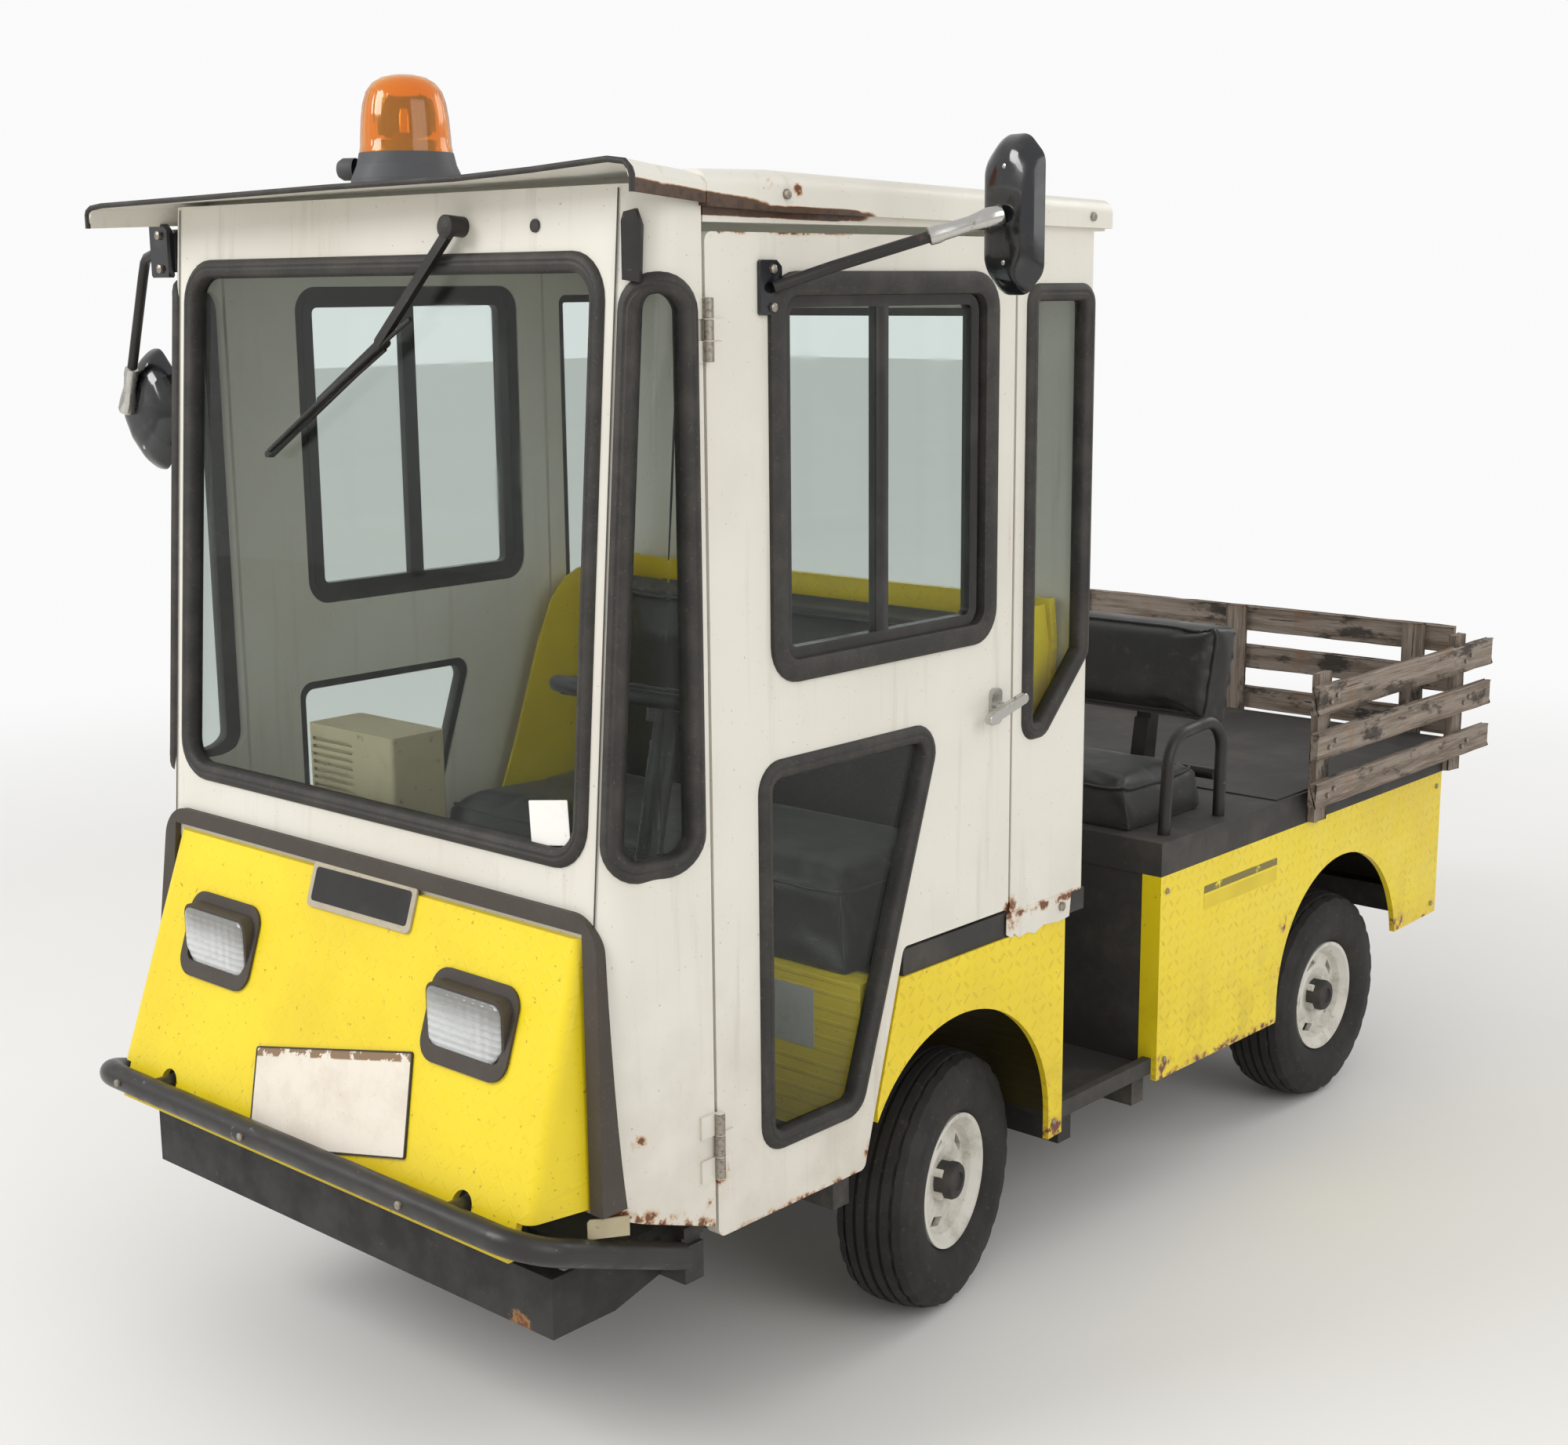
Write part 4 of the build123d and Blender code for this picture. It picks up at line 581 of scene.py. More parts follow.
def ringFaces(rings, points, closedRings=True, closedPoints=True):
    faces = []
    for i in range(rings if closedRings else rings - 1):
        for j in range(points if closedPoints else points - 1):
            a, b = i * points + j, i * points + (j + 1) % points
            c, d = ((i + 1) % rings) * points + (j + 1) % points, ((i + 1) % rings) * points + j
            faces.append((a, b, c, d))
    return faces


def roundedOutline(corners, radius, steps=7):
    # A closed outline in two dimensions with its corners rounded, one radius for all or one for each
    points = []
    count = len(corners)
    for i, corner in enumerate(corners):
        r = radius[i] if isinstance(radius, (list, tuple)) else radius
        here = Vector(corner)
        back = (Vector(corners[i - 1]) - here).normalized()
        ahead = (Vector(corners[(i + 1) % count]) - here).normalized()
        half = back.angle(ahead) / 2
        reach = r / math.tan(half)
        middle = here + (back + ahead).normalized() * (r / math.sin(half))
        start, end = here + back * reach - middle, here + ahead * reach - middle
        sweep = math.atan2(start.x * end.y - start.y * end.x, start.dot(end))
        for k in range(steps + 1):
            turn = sweep * k / steps
            c, s = math.cos(turn), math.sin(turn)
            points.append(Vector((middle.x + start.x * c - start.y * s, middle.y + start.x * s + start.y * c)))
    return points


def thinned(points, gap=0.004):
    kept = [points[0]]
    for point in points[1:]:
        if (point - kept[-1]).length > gap:
            kept.append(point)
    if (kept[-1] - kept[0]).length < gap:
        kept.pop()
    return kept


def filled(points, gap):
    # Adds points on long runs so that an outline can follow a curved panel
    dense = []
    for i, point in enumerate(points):
        ahead = points[(i + 1) % len(points)]
        count = max(1, int((ahead - point).length / gap))
        dense += [point.lerp(ahead, k / count) for k in range(count)]
    return dense


sealSection = [  # across the rubber, and out from the panel, in metres
    (-0.0145, -0.021), (-0.0150, -0.004), (-0.0140, 0.003), (-0.0100, 0.0070), (-0.0040, 0.0085), (-0.0015, 0.0070),
    (0.0010, 0.0070), (0.0035, 0.0085), (0.0095, 0.0070), (0.0135, 0.0030), (0.0150, -0.0010), (0.0135, -0.021),
]


def sealLoop(name, points, normals, section, finish, body, slot="black_rubber"):
    middle = sum(points, Vector()) / len(points)
    verts = []
    for i, point in enumerate(points):
        tangent = (points[(i + 1) % len(points)] - points[i - 1]).normalized()
        normal = (normals[i] - tangent * normals[i].dot(tangent)).normalized()
        outward = normal.cross(tangent)
        if outward.dot(point - middle) < 0:
            outward = -outward
        for across, out in section:
            verts.append(point + outward * across + normal * out)
    return addPiece(name, verts, ringFaces(len(points), len(section)), finish, body, slot)


bothSides = ((1, "Left"), (-1, "Right"))
cabSide = 0.590


def sidePath(corners, radius, side):
    # A rounded outline on the cab's side, and its outward directions
    outline = thinned(roundedOutline(corners, radius))
    return [Vector((side * cabSide, along(p.x), p.y)) for p in outline], [Vector((side, 0, 0))] * len(outline)


# Window rubbers

windows = {
    "windscreen": {"half": 0.4965, "low": 0.973, "high": 1.816, "radius": 0.055},
    "doorWindow": {"corners": [(-0.486, 1.212), (0.038, 1.212), (0.038, 1.786), (-0.486, 1.786)], "radius": 0.045},
    "lowWindow": {"corners": [(-0.518, 0.480), (-0.306, 0.480), (-0.108, 1.070), (-0.518, 1.070)], "radius": 0.034},
    "quarterWindow": {"corners": [(0.149, 1.024), (0.194, 1.024), (0.316, 1.146), (0.316, 1.767), (0.149, 1.767)],
                      "radius": 0.020},
    "rearWindow": {"half": 0.380, "low": 1.180, "high": 1.740, "radius": 0.060, "at": 0.344},
    "cornerWindow": {"low": 0.965, "high": 1.786, "edge": 0.025, "radius": 0.040},
}
frontLean = 0.079
frontNormal = Vector((0, -1, frontLean)).normalized()


def frontY(z):
    return along(-0.885) + frontLean * z


def rectangle(half, low, high):
    return [(-half, low), (half, low), (half, high), (-half, high)]


def upright(spec):
    return thinned(roundedOutline(rectangle(spec["half"], spec["low"], spec["high"]), spec["radius"]))


outline = upright(windows["windscreen"])
path = [Vector((p.x, frontY(p.y), p.y)) for p in outline]
sealLoop("windscreenSeal", path, [frontNormal] * len(path), sealSection, "windowRubber", "cart")
outline = upright(windows["rearWindow"])
path = [Vector((p.x, along(windows["rearWindow"]["at"]), p.y)) for p in outline]
sealLoop("rearWindowSeal", path, [Vector((0, 1, 0))] * len(path), sealSection, "windowRubber", "cart")

# The upper door window: a broad rubber, a dark sliding frame inside it and the upright where the panes meet
slider = {
    "section": [(-0.020, -0.022), (-0.021, -0.006), (-0.019, 0.005), (-0.013, 0.009), (0.008, 0.010), (0.014, 0.006),
                (0.016, -0.002), (0.014, -0.022)],
    "frame": [(-0.011, -0.024), (-0.011, -0.004), (-0.006, -0.002), (0.006, -0.002), (0.010, -0.006), (0.010, -0.024)],
    "inset": 0.026, "rear": 0.012, "radius": 0.022, "stileAt": -0.233, "stileWidth": 0.030, "chamfer": 0.004,
    "stileFaces": (0.566, 0.583, 0.586),
}
inset, half = slider["inset"], slider["stileWidth"] / 2
(y0, z0), (y1, z1) = windows["doorWindow"]["corners"][0], windows["doorWindow"]["corners"][2]
inner = [(y0 + inset, z0 + inset), (y1 - inset - slider["rear"], z0 + inset),
         (y1 - inset - slider["rear"], z1 - inset), (y0 + inset, z1 - inset)]
back, edge, front = slider["stileFaces"]
stile = [(-half, back), (-half, edge), (-half + slider["chamfer"], front), (half - slider["chamfer"], front),
         (half, edge), (half, back)]
for side, word in bothSides:
    body = "door_" + word.lower()
    for name, rides in (("quarterWindow", "cart"), ("lowWindow", body)):
        path, out = sidePath(windows[name]["corners"], windows[name]["radius"], side)
        sealLoop(name + "Seal" + word, path, out, sealSection, "windowRubber", rides)
    path, out = sidePath(windows["doorWindow"]["corners"], windows["doorWindow"]["radius"], side)
    sealLoop("doorWindowSeal" + word, path, out, slider["section"], "windowRubber", body)
    path, out = sidePath(inner, slider["radius"], side)
    sealLoop("sliderFrame" + word, path, out, slider["frame"], "frameBlack", body, "worn_black_paint")
    verts = [(side * x, along(slider["stileAt"] + dy), z) for z in (z0 + inset, z1 - inset) for dy, x in stile]
    faces = ringFaces(2, 6, False) + [tuple(range(6)), tuple(range(6, 12))]
    addPiece("sliderStile" + word, verts, faces, "frameBlack", body, "worn_black_paint")

# Corner windows wrap round the cab's corner, so their outline is laid on the panel's own curve
corner = {"side": cabSide, "radius": 0.075, "seam": 0.530, "doorLine": -0.636}


def cornerSurface(s, z, side):
    # The point of the corner panel at diagonal place s and height z, with its outward direction
    start = frontY(z)
    total = s * math.sqrt(2)
    reach = corner["radius"]
    bend = (total - (corner["side"] - reach) - (start + reach)) / (reach * math.sqrt(2))
    if bend <= -math.sqrt(0.5):
        return Vector((side * (total - start), start, z)), Vector((0, -1, frontLean)).normalized()
    if bend >= math.sqrt(0.5):
        return Vector((side * corner["side"], total - corner["side"], z)), Vector((side, 0, 0))
    turn = math.pi / 4 + math.asin(bend)
    x = side * (corner["side"] - reach + reach * math.sin(turn))
    point = Vector((x, start + reach - reach * math.cos(turn), z))
    return point, Vector((side * math.sin(turn), -math.cos(turn), 0)).normalized()


def cornerWindowPath(side):
    spec = windows["cornerWindow"]
    low, high, edge = spec["low"], spec["high"], spec["edge"]
    root = math.sqrt(2)
    rear = along(corner["doorLine"] - edge)
    flat = [((corner["seam"] + edge + frontY(low)) / root, low), ((corner["side"] + rear) / root, low),
            ((corner["side"] + rear) / root, high), ((corner["seam"] + edge + frontY(high)) / root, high)]
    outline = filled(thinned(roundedOutline(flat, spec["radius"]), 0.003), 0.03)
    pairs = [cornerSurface(p.x, p.y, side) for p in outline]
    return [p for p, n in pairs], [n for p, n in pairs]


for side, word in bothSides:
    path, out = cornerWindowPath(side)
    sealLoop("cornerWindowSeal" + word, path, out, sealSection, "windowRubber", "cart")
print("window rubbers made")


# Small hardware

def boltSet(name, places, radius, height, sides, finish, body, slot="chrome_trim", dome=0.4):
    # A row of bolt heads: each place is a point and the direction the head faces
    verts, faces = [], []
    for point, facing in places:
        facing = Vector(facing).normalized()
        across = facing.orthogonal().normalized()
        up = facing.cross(across)
        base = len(verts)
        for level, share in ((-0.15, 1.0), (0.7, 1.0), (1.0, 1 - dome)):
            for k in range(sides):
                turn = 2 * math.pi * k / sides
                spoke = across * math.cos(turn) + up * math.sin(turn)
                verts.append(Vector(point) + facing * height * level + spoke * radius * share)
        faces += [tuple(base + i for i in face) for face in ringFaces(3, sides, False)]
        faces.append(tuple(base + 2 * sides + k for k in range(sides)))
    return addPiece(name, verts, faces, finish, body, slot)


def onSides(x, places):
    # The same bolt places on the left and on the right
    return [((side * x, along(y), z), (side, 0, 0)) for side, word in bothSides for y, z in places]


def tube(points, radius, sides=12):
    # Rings of a round bar that follows the points
    verts = []
    points = [Vector(p) for p in points]
    across = None
    for i, point in enumerate(points):
        tangent = (points[min(i + 1, len(points) - 1)] - points[max(i - 1, 0)]).normalized()
        across = across - tangent * across.dot(tangent) if across else tangent.orthogonal()
        across.normalize()
        up = tangent.cross(across)
        r = radius[i] if isinstance(radius, (list, tuple)) else radius
        for k in range(sides):
            turn = 2 * math.pi * k / sides
            verts.append(point + (across * math.cos(turn) + up * math.sin(turn)) * r)
    ends = [tuple(range(sides)), tuple(range(len(verts) - sides, len(verts)))]
    return verts, ringFaces(len(points), sides, False) + ends


def plate(outline, place, thick, edge=0.0006):
    # A thin plate: outline in its own plane, place gives the corner and the two directions
    origin, across, up = (Vector(v) for v in place)
    out = across.cross(up).normalized()
    outline = [Vector(p) for p in outline]
    middle = sum(outline, Vector((0, 0))) / len(outline)
    verts = []
    for level, inset in ((0, 0), (thick - edge, 0), (thick, edge)):
        for p in outline:
            q = p + (middle - p).normalized() * inset
            verts.append(origin + across * q.x + up * q.y + out * level)
    count = len(outline)
    return verts, capped(3, count)


def flatPiece(name, outline, place, thick, finish, slot, smooth=True):
    return addPiece(name, *plate(outline, place, thick), finish, "cart", slot, smooth)


def capped(rings, count):
    # The faces of open rings with both ends closed
    return ringFaces(rings, count, False) + [tuple(range(count)), tuple(range((rings - 1) * count, rings * count))]


# The nose face leans back more than the cab front
noseFace = {"outTop": 0.006, "outBottom": 0.120, "top": 0.875, "bottom": 0.420}
noseSlope = (noseFace["outBottom"] - noseFace["outTop"]) / (noseFace["top"] - noseFace["bottom"]) + frontLean


def noseY(z):
    return frontY(noseFace["top"]) - noseFace["outTop"] - noseSlope * (noseFace["top"] - z)


noseUp = Vector((0, noseSlope, 1)).normalized()
noseOut = Vector((0, -1, noseSlope)).normalized()


def nosePlate(name, spec, size, turn, thick, lift, finish, slot, radius=0.004):
    # A plate flat on the nose, turned anticlockwise, and the frame its rim is laid in
    c, s = math.cos(math.radians(turn)), math.sin(math.radians(turn))
    across, up = Vector((1, 0, 0)) * c + noseUp * s, noseUp * c - Vector((1, 0, 0)) * s
    origin = Vector((spec["x"], noseY(spec["z"]), spec["z"])) + noseOut * lift
    outline = roundedOutline(rectangle(size[0], -size[1], size[1]), radius, 4)
    flatPiece(name, outline, (origin, across, up), thick, finish, slot)
    return [origin + across * p.x + up * p.y for p in outline]


sign = {"x": 0.040, "z": 0.5365, "size": (0.1905, 0.079), "turn": 11.5, "thick": 0.0025}
signTurn = math.radians(sign["turn"])
signUp = noseUp * math.cos(signTurn) - Vector((1, 0, 0)) * math.sin(signTurn)
signTop = Vector((sign["x"], noseY(sign["z"]), sign["z"])).dot(signUp) + sign["size"][1]
look = Finish("signWhite", "#e9e0d2", rough=0.5)
look.paint(look.times(look.step(look.cloud(13.0, 6.0, 0.7), 0.42, 0.72), 0.5), "#d3c5b0")
look.paint(look.step(look.cloud(140.0, 4.0), 0.66, 0.74, 0.0, 0.45), "#9a8a76")
frayed = look.step(look.cloud(34.0, 6.0, 0.7), 0.36, 0.52)
peel = look.times(look.nearPlane(tuple(signUp), signTop, 0.024), frayed)
look.paint(look.step(peel, 0.25, 0.42), "#8a6f52")
finishes["signWhite"] = look.done()
rimPath = nosePlate("signPlate", sign, sign["size"], sign["turn"], sign["thick"], 0.0005, "signWhite",
                    "white_paint")
rim = [(-0.0014, 0.0), (-0.0014, 0.0034), (0.0010, 0.0034), (0.0014, 0.0)]
sealLoop("signRim", rimPath, [noseOut] * len(rimPath), rim, "windowRubber", "cart", "black_rubber")

badge = {"x": 0.016, "z": 0.842, "size": (0.131, 0.038), "panel": (0.121, 0.0275), "turn": 0.4}
nosePlate("badgePlate", badge, badge["size"], badge["turn"], 0.004, 0.0005, "badgeGrey", "chrome_trim", 0.010)
nosePlate("badgePanel", badge, badge["panel"], badge["turn"], 0.0012, 0.0042, "frameBlack", "worn_black_paint",
          0.006)

# Headlamps: a ribbed lens with one cut corner over a bright bowl, in front of each housing
lamp = {
    "x": 0.322, "z": 0.709, "half": (0.0835, 0.0500), "cut": 0.024, "front": -0.888,
    # each ring is a share of the outline and how far back it lies
    "lens": [(1.0, 0.004), (1.0, -0.0016), (0.985, -0.0030), (0.95, -0.0042), (0.80, -0.0055), (0.5, -0.0066),
             (0.2, -0.0070)],
    "bowl": [(0.96, -0.0012), (0.80, 0.000), (0.55, 0.0015), (0.2, 0.0025)],
}
hw, hh = lamp["half"]
corners = [(-hw, -hh), (hw - lamp["cut"], -hh), (hw, -hh + 1.3 * lamp["cut"]), (hw, hh), (-hw, hh)]
outline = thinned(roundedOutline(corners, [0.014, 0.010, 0.012, 0.016, 0.014]), 0.003)
count = len(outline)
for side, word in bothSides:
    for part, finish, slot in (("lens", "lampLens", "lamp_lens"), ("bowl", "lampReflector", "chrome_trim")):
        rings = lamp[part]
        verts = [(side * (lamp["x"] + p.x * share), along(lamp["front"] + depth), lamp["z"] + p.y * share)
                 for share, depth in rings for p in outline]
        faces = ringFaces(len(rings), count, False)
        faces.append(tuple(range(len(verts) - count, len(verts))))
        addPiece("lamp" + part.capitalize() + word, verts, faces, finish, "cart", slot)
print("nose fittings made")

# Mirrors: a domed shell with a bead round the glass, a bent arm that ends in a chromed clamp, and a bracket
mirrors = {
    # half is the half outline, in shares of the half width and the half height
    "left": {"glass": (0.8215, -0.217, 1.878), "size": (0.055, 0.1125), "depth": 0.030, "turn": 8, "grip": 0.0,
             "foot": (0.600, -0.500, 1.778), "elbow": (0.650, -0.430, 1.806), "clamp": 0.58,
             "half": [(0.42, 1.0), (1.0, 0.72)], "round": 0.030, "dome": 1.0},
    "right": {"glass": (-0.785, -0.635, 1.570), "size": (0.090, 0.108), "depth": 0.044, "turn": 0, "grip": -0.030,
              "foot": (-0.640, -0.708, 1.848), "elbow": (-0.700, -0.700, 1.836), "clamp": 0.72,
              "half": [(0.16, 1.0), (0.62, 0.62), (1.0, 0.16)], "round": 0.024, "dome": 1.7},
}
dome = [(0.10, 0.93), (0.0, 0.955), (-0.03, 0.985), (0.03, 1.01), (0.10, 1.0), (0.20, 0.988), (0.36, 0.960),
        (0.52, 0.926), (0.67, 0.885), (0.80, 0.830), (0.90, 0.755), (0.95, 0.66), (0.975, 0.53), (0.99, 0.38),
        (1.0, 0.20), (1.01, 0.06)]
mirrorFoot = [(-0.023, -0.036), (-0.020, -0.039), (0.020, -0.039), (0.023, -0.036), (0.023, 0.030), (0.012, 0.039),
              (-0.020, 0.039), (-0.023, 0.036)]


def scaled(outline, share):
    return [Vector(p) * share for p in outline]


def mirrorHead(spec, outline, glass, front, across, up):
    # Towards the middle of the dome the outline turns into an oval
    w, h = spec["size"]
    oval = [Vector((w * math.cos(a), h * math.sin(a))) for a in (math.atan2(p.y / h, p.x / w) for p in outline)]
    verts = []
    for deep, share in dome:
        for p, q in zip(outline, oval):
            flat = p.lerp(q, min(1.0, max(0.0, 1.0 - share) * 2.4))
            # A flat back has a short round edge, a domed one falls away from its middle
            reach = share if deep < 0.15 else max(share, 0.02) ** spec["dome"]
            verts.append(glass + front * spec["depth"] * deep + (across * flat.x + up * flat.y) * reach)
    return verts, capped(len(dome), len(outline))


def makeMirror(word, spec):
    name, turn = word.capitalize(), math.radians(spec["turn"])
    up = Vector((0, 0, 1))
    front, across = Vector((-math.sin(turn), -math.cos(turn), 0)), Vector((math.cos(turn), -math.sin(turn), 0))
    w, h = spec["size"]
    corners = [(x * w, z * h) for x, z in spec["half"]]
    corners += [(x, -z) for x, z in reversed(corners)]
    corners += [(-x, z) for x, z in reversed(corners)]
    outline = thinned(roundedOutline(corners, spec["round"], 8), 0.002)
    glass, foot, elbow = (Vector((x, along(y), z)) for x, y, z in (spec[key] for key in ("glass", "foot", "elbow")))
    head = mirrorHead(spec, outline, glass, front, across, up)
    shell = addPiece("mirrorShell" + name, *head, "glossBlack", "cart", "black_plastic")
    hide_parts("mirror_" + word)
    flatPiece("mirrorPane" + name, scaled(outline, 0.95), (glass + front * 0.0022, -across, up), 0.002, "mirrorGlass",
              "chrome_trim")
    tip = glass + front * (spec["depth"] + 0.006) + across * spec["grip"]
    bend = [foot.lerp(elbow, 0.86), elbow.lerp(foot, 0.05).lerp(elbow.lerp(tip, 0.05), 0.5), elbow.lerp(tip, 0.12)]
    arm = tube([foot] + bend + [tip], 0.0088, 16)
    addPiece("mirrorArm" + name, *arm, "tubeBlack", "cart", "worn_black_paint")
    start = elbow.lerp(tip, spec["clamp"])
    way, length = (tip - start).normalized(), (tip - start).length
    stops = [(-0.02, 0.0100), (-0.016, 0.0135), (length, 0.0150)]
    if length > 0.08:
        stops = [(-0.002, 0.0095), (0.0, 0.0128), (0.012, 0.0135), (0.022, 0.0118)]
        ends = ((0.045, 0.0112), (0.020, 0.0150), (0.002, 0.0160), (-0.004, 0.0135))
        stops += [(length - back, r) for back, r in ends if length - back > 0.034]
    clamp = tube([start + way * s for s, r in stops], [r for s, r in stops], 20)
    addPiece("mirrorClamp" + name, *clamp, "wornChrome", "cart", "chrome_trim")
    screws = [(glass + front * (spec["depth"] * 0.80) + up * h * s, front) for s in (-0.60, 0.60)]
    screws.append((tip + front * 0.004, front))
    boltSet("mirrorScrews" + name, screws, 0.0055, 0.005, 12, "wornChrome", "cart")
    if word == "right":
        # The far bracket stands out from the corner and shows its face in front
        place = ((-0.624, along(-0.708), foot.z), (1, 0, 0), up)
        flatPiece("mirrorTab", scaled(mirrorFoot, 1.15), place, 0.012, "glossBlack", "black_plastic")
        place = ((-cabSide, along(-0.690), foot.z), (0, -1, 0), up)
        flatPiece("mirrorStay", scaled(mirrorFoot, 0.92), place, 0.030, "glossBlack", "black_plastic")
        bolts, radius, height = [(-0.620, along(-0.720), foot.z + dz) for dz in (-0.030, 0.026)], 0.008, 0.007
        facing = (0, -1, 0)
    else:
        place = ((cabSide, foot.y, foot.z), (0, 1, 0), up)
        flatPiece("mirrorBracket" + name, mirrorFoot, place, 0.007, "glossBlack", "black_plastic")
        bolts, radius, height = [(0.597, foot.y + 0.002, foot.z + dz) for dz in (-0.028, 0.026)], 0.007, 0.006
        facing = (1, 0, 0)
    boltSet("mirrorBolts" + name, [(p, facing) for p in bolts], radius, height, 6, "boltZinc", "cart")


for word, spec in mirrors.items():
    makeMirror(word, spec)
print("mirrors made")

# Dark edging along the visor's front edge, curled down at both ends
visorEdge = [  # share of the half width, height of the edge over the roof top, drop at the end
    (-1.0, -0.028, 0.026), (-0.995, -0.022, 0.0), (-0.98, -0.017, 0.0), (-0.93, -0.014, 0.0), (-0.5, -0.010, 0.0),
    (0.0, -0.005, 0.0), (0.45, -0.003, 0.0), (0.7, 0.003, 0.0), (0.93, 0.011, 0.0), (0.98, 0.007, 0.0),
    (0.995, -0.002, 0.0), (1.0, -0.010, 0.026),
]
path = []
for share, height, drop in visorEdge:
    point = Vector((share * 0.633, along(-0.827 + 0.019 * share) - 0.0005, 1.938 + height - 0.004))
    curl = [point - Vector((0, 0, drop - 0.004))] if drop else []
    path += curl + [point] if share < 0 else [point] + curl
addPiece("visorEdging", *tube(path, 0.0044, 10), "windowRubber", "cart", "black_rubber")

# Beacon: a ribbed amber shell over a lamp and its turning dish
beacon = {"x": 0.0, "y": -0.672, "floor": 1.984, "ribs": 36, "skin": 0.0035}
profile = [(0.0712, 0.0), (0.0705, 0.006), (0.0690, 0.010), (0.0682, 0.026), (0.0662, 0.052), (0.0628, 0.074),
           (0.0572, 0.091), (0.0480, 0.1035), (0.0345, 0.1115), (0.0180, 0.1153), (0.0040, 0.1160)]
inner = [(max(r - beacon["skin"], 0.001), max(z - beacon["skin"], 0.0)) for r, z in reversed(profile)]
turns = 108
verts = []
for k in range(turns):
    turn = 2 * math.pi * k / turns
    swell = 0.0005 * math.cos(beacon["ribs"] * turn)
    for i, (r, z) in enumerate(profile + inner):
        r += swell if 2 <= i <= 6 else 0.0
        verts.append((beacon["x"] + r * math.cos(turn), along(beacon["y"]) + r * math.sin(turn), beacon["floor"] + z))
faces = ringFaces(turns, len(profile) + len(inner))
shell = addPiece("beaconShell", verts, faces, "amberLens", "cart", "amber_lens")
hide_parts("beacon_dome")
centre = Vector((0, along(beacon["y"]), beacon["floor"]))
post = tube([centre + Vector((0, 0, z)) for z in (0.0, 0.018, 0.019, 0.030)], [0.046, 0.044, 0.018, 0.016], 28)
addPiece("beaconPost", *post, "beaconGrey", "cart", "black_plastic")
boltSet("beaconBulb", [(centre + Vector((0, 0, 0.032)), (0, 0, 1))], 0.013, 0.034, 20, "lampReflector", "cart")
dishSection = [(0.030, 0.022), (0.043, 0.030), (0.047, 0.055), (0.043, 0.080), (0.026, 0.088), (0.024, 0.086),
               (0.040, 0.078), (0.044, 0.055), (0.040, 0.032)]
dish = []
for k in range(13):
    turn = math.radians(20 + 200 * k / 12)
    dish += [centre + Vector((r * math.cos(turn), r * math.sin(turn), z)) for r, z in dishSection]
addPiece("beaconDish", dish, capped(13, 9), "tubeBlack", "cart", "black_plastic")
boltSet("beaconKnob", [((-0.074, along(-0.716), 1.962), (-0.9, -0.45, 0.0))], 0.017, 0.024, 22, "beaconGrey", "cart",
        "black_plastic", dome=0.25)

# Bare hinge barrels over the painted leaves, each of three knuckles
hinge = {"x": 0.598, "y": -0.633, "levels": [(1.676, 1.766), (0.466, 0.570)], "gap": 0.0008,
         "radii": (0.0070, 0.0081)}
for side, word in bothSides:
    for number, (low, high) in enumerate(hinge["levels"]):
        stops, third = [], (high - low) / 3
        for k in range(3):
            a, b = low + third * k + hinge["gap"], low + third * (k + 1) - hinge["gap"]
            stops += list(zip((a, a + 0.0006, b - 0.0006, b), hinge["radii"] + hinge["radii"][::-1]))
        line = [(side * hinge["x"], along(hinge["y"]), z) for z, r in stops]
        barrel = tube(line, [r for z, r in stops], 18)
        addPiece("hingeBarrel%s%d" % (word, number), *barrel, "boltZinc", "cart", "chrome_trim")

# The side panel's worn decal, the seat box's blank plate and the windscreen's blank sticker
stickerPlace = (Vector((0.426, frontY(1.021), 1.021)) + frontNormal * -0.0035, (0.988, 0, 0.155),
                Vector((-0.155, 0.079, 0.985)).normalized())
labels = [  # name, half width, half height, corner radius and its steps, place, thickness, finish, slot
    ("sideDecal", 0.143, 0.024, 0.003, 3, ((0.5903, along(0.900), 0.5955), (0, 1, 0), (0, 0, 1)), 0.0005,
     "fadedDecal", "yellow_paint"),
    ("dataPlate", 0.045, 0.052, 0.004, 4, ((0.415, along(-0.2625), 0.588), (1, 0, 0), (0, 0, 1)), 0.0012,
     "labelSilver", "chrome_trim"),
    ("windscreenSticker", 0.0425, 0.033, 0.002, 4, stickerPlace, 0.0006, "stickerWhite", "white_paint"),
]
for name, half, rise, radius, steps, place, thick, finish, slot in labels:
    flatPiece(name, roundedOutline(rectangle(half, -rise, rise), radius, steps), place, thick, finish, slot)
print("cab trim made")

# Yellow wings that close the ends of the seat shell
wing = [(-0.115, 0.672), (0.262, 0.684), (0.300, 1.156), (0.286, 1.226), (0.185, 1.226), (0.145, 1.222),
        (0.108, 1.205), (0.070, 1.165), (0.030, 1.080), (-0.040, 0.885), (-0.100, 0.740)]
for (side, word), x in zip(bothSides, (0.5225, -0.5275)):
    flatPiece("shellWing" + word, wing, ((x, along(0), 0), (0, 1, 0), (0, 0, 1)), 0.005, "shellYellow", "yellow_paint",
              smooth=False)

# Chromed rings round the tail lamps
tailRing = {"x": 0.480, "y": 1.802, "z": 0.592, "radius": 0.0465,
            "section": [(-0.003, -0.002), (-0.003, 0.004), (0.0, 0.007), (0.004, 0.004), (0.004, -0.002)]}
for side, word in bothSides:
    turns = [a * math.pi / 24 for a in range(48)]
    path = [Vector((side * tailRing["x"] + tailRing["radius"] * math.cos(a), along(tailRing["y"]),
                    tailRing["z"] + tailRing["radius"] * math.sin(a))) for a in turns]
    sealLoop("tailLampRing" + word, path, [Vector((0, 1, 0))] * 48, tailRing["section"], "wornChrome", "cart",
             "chrome_trim")

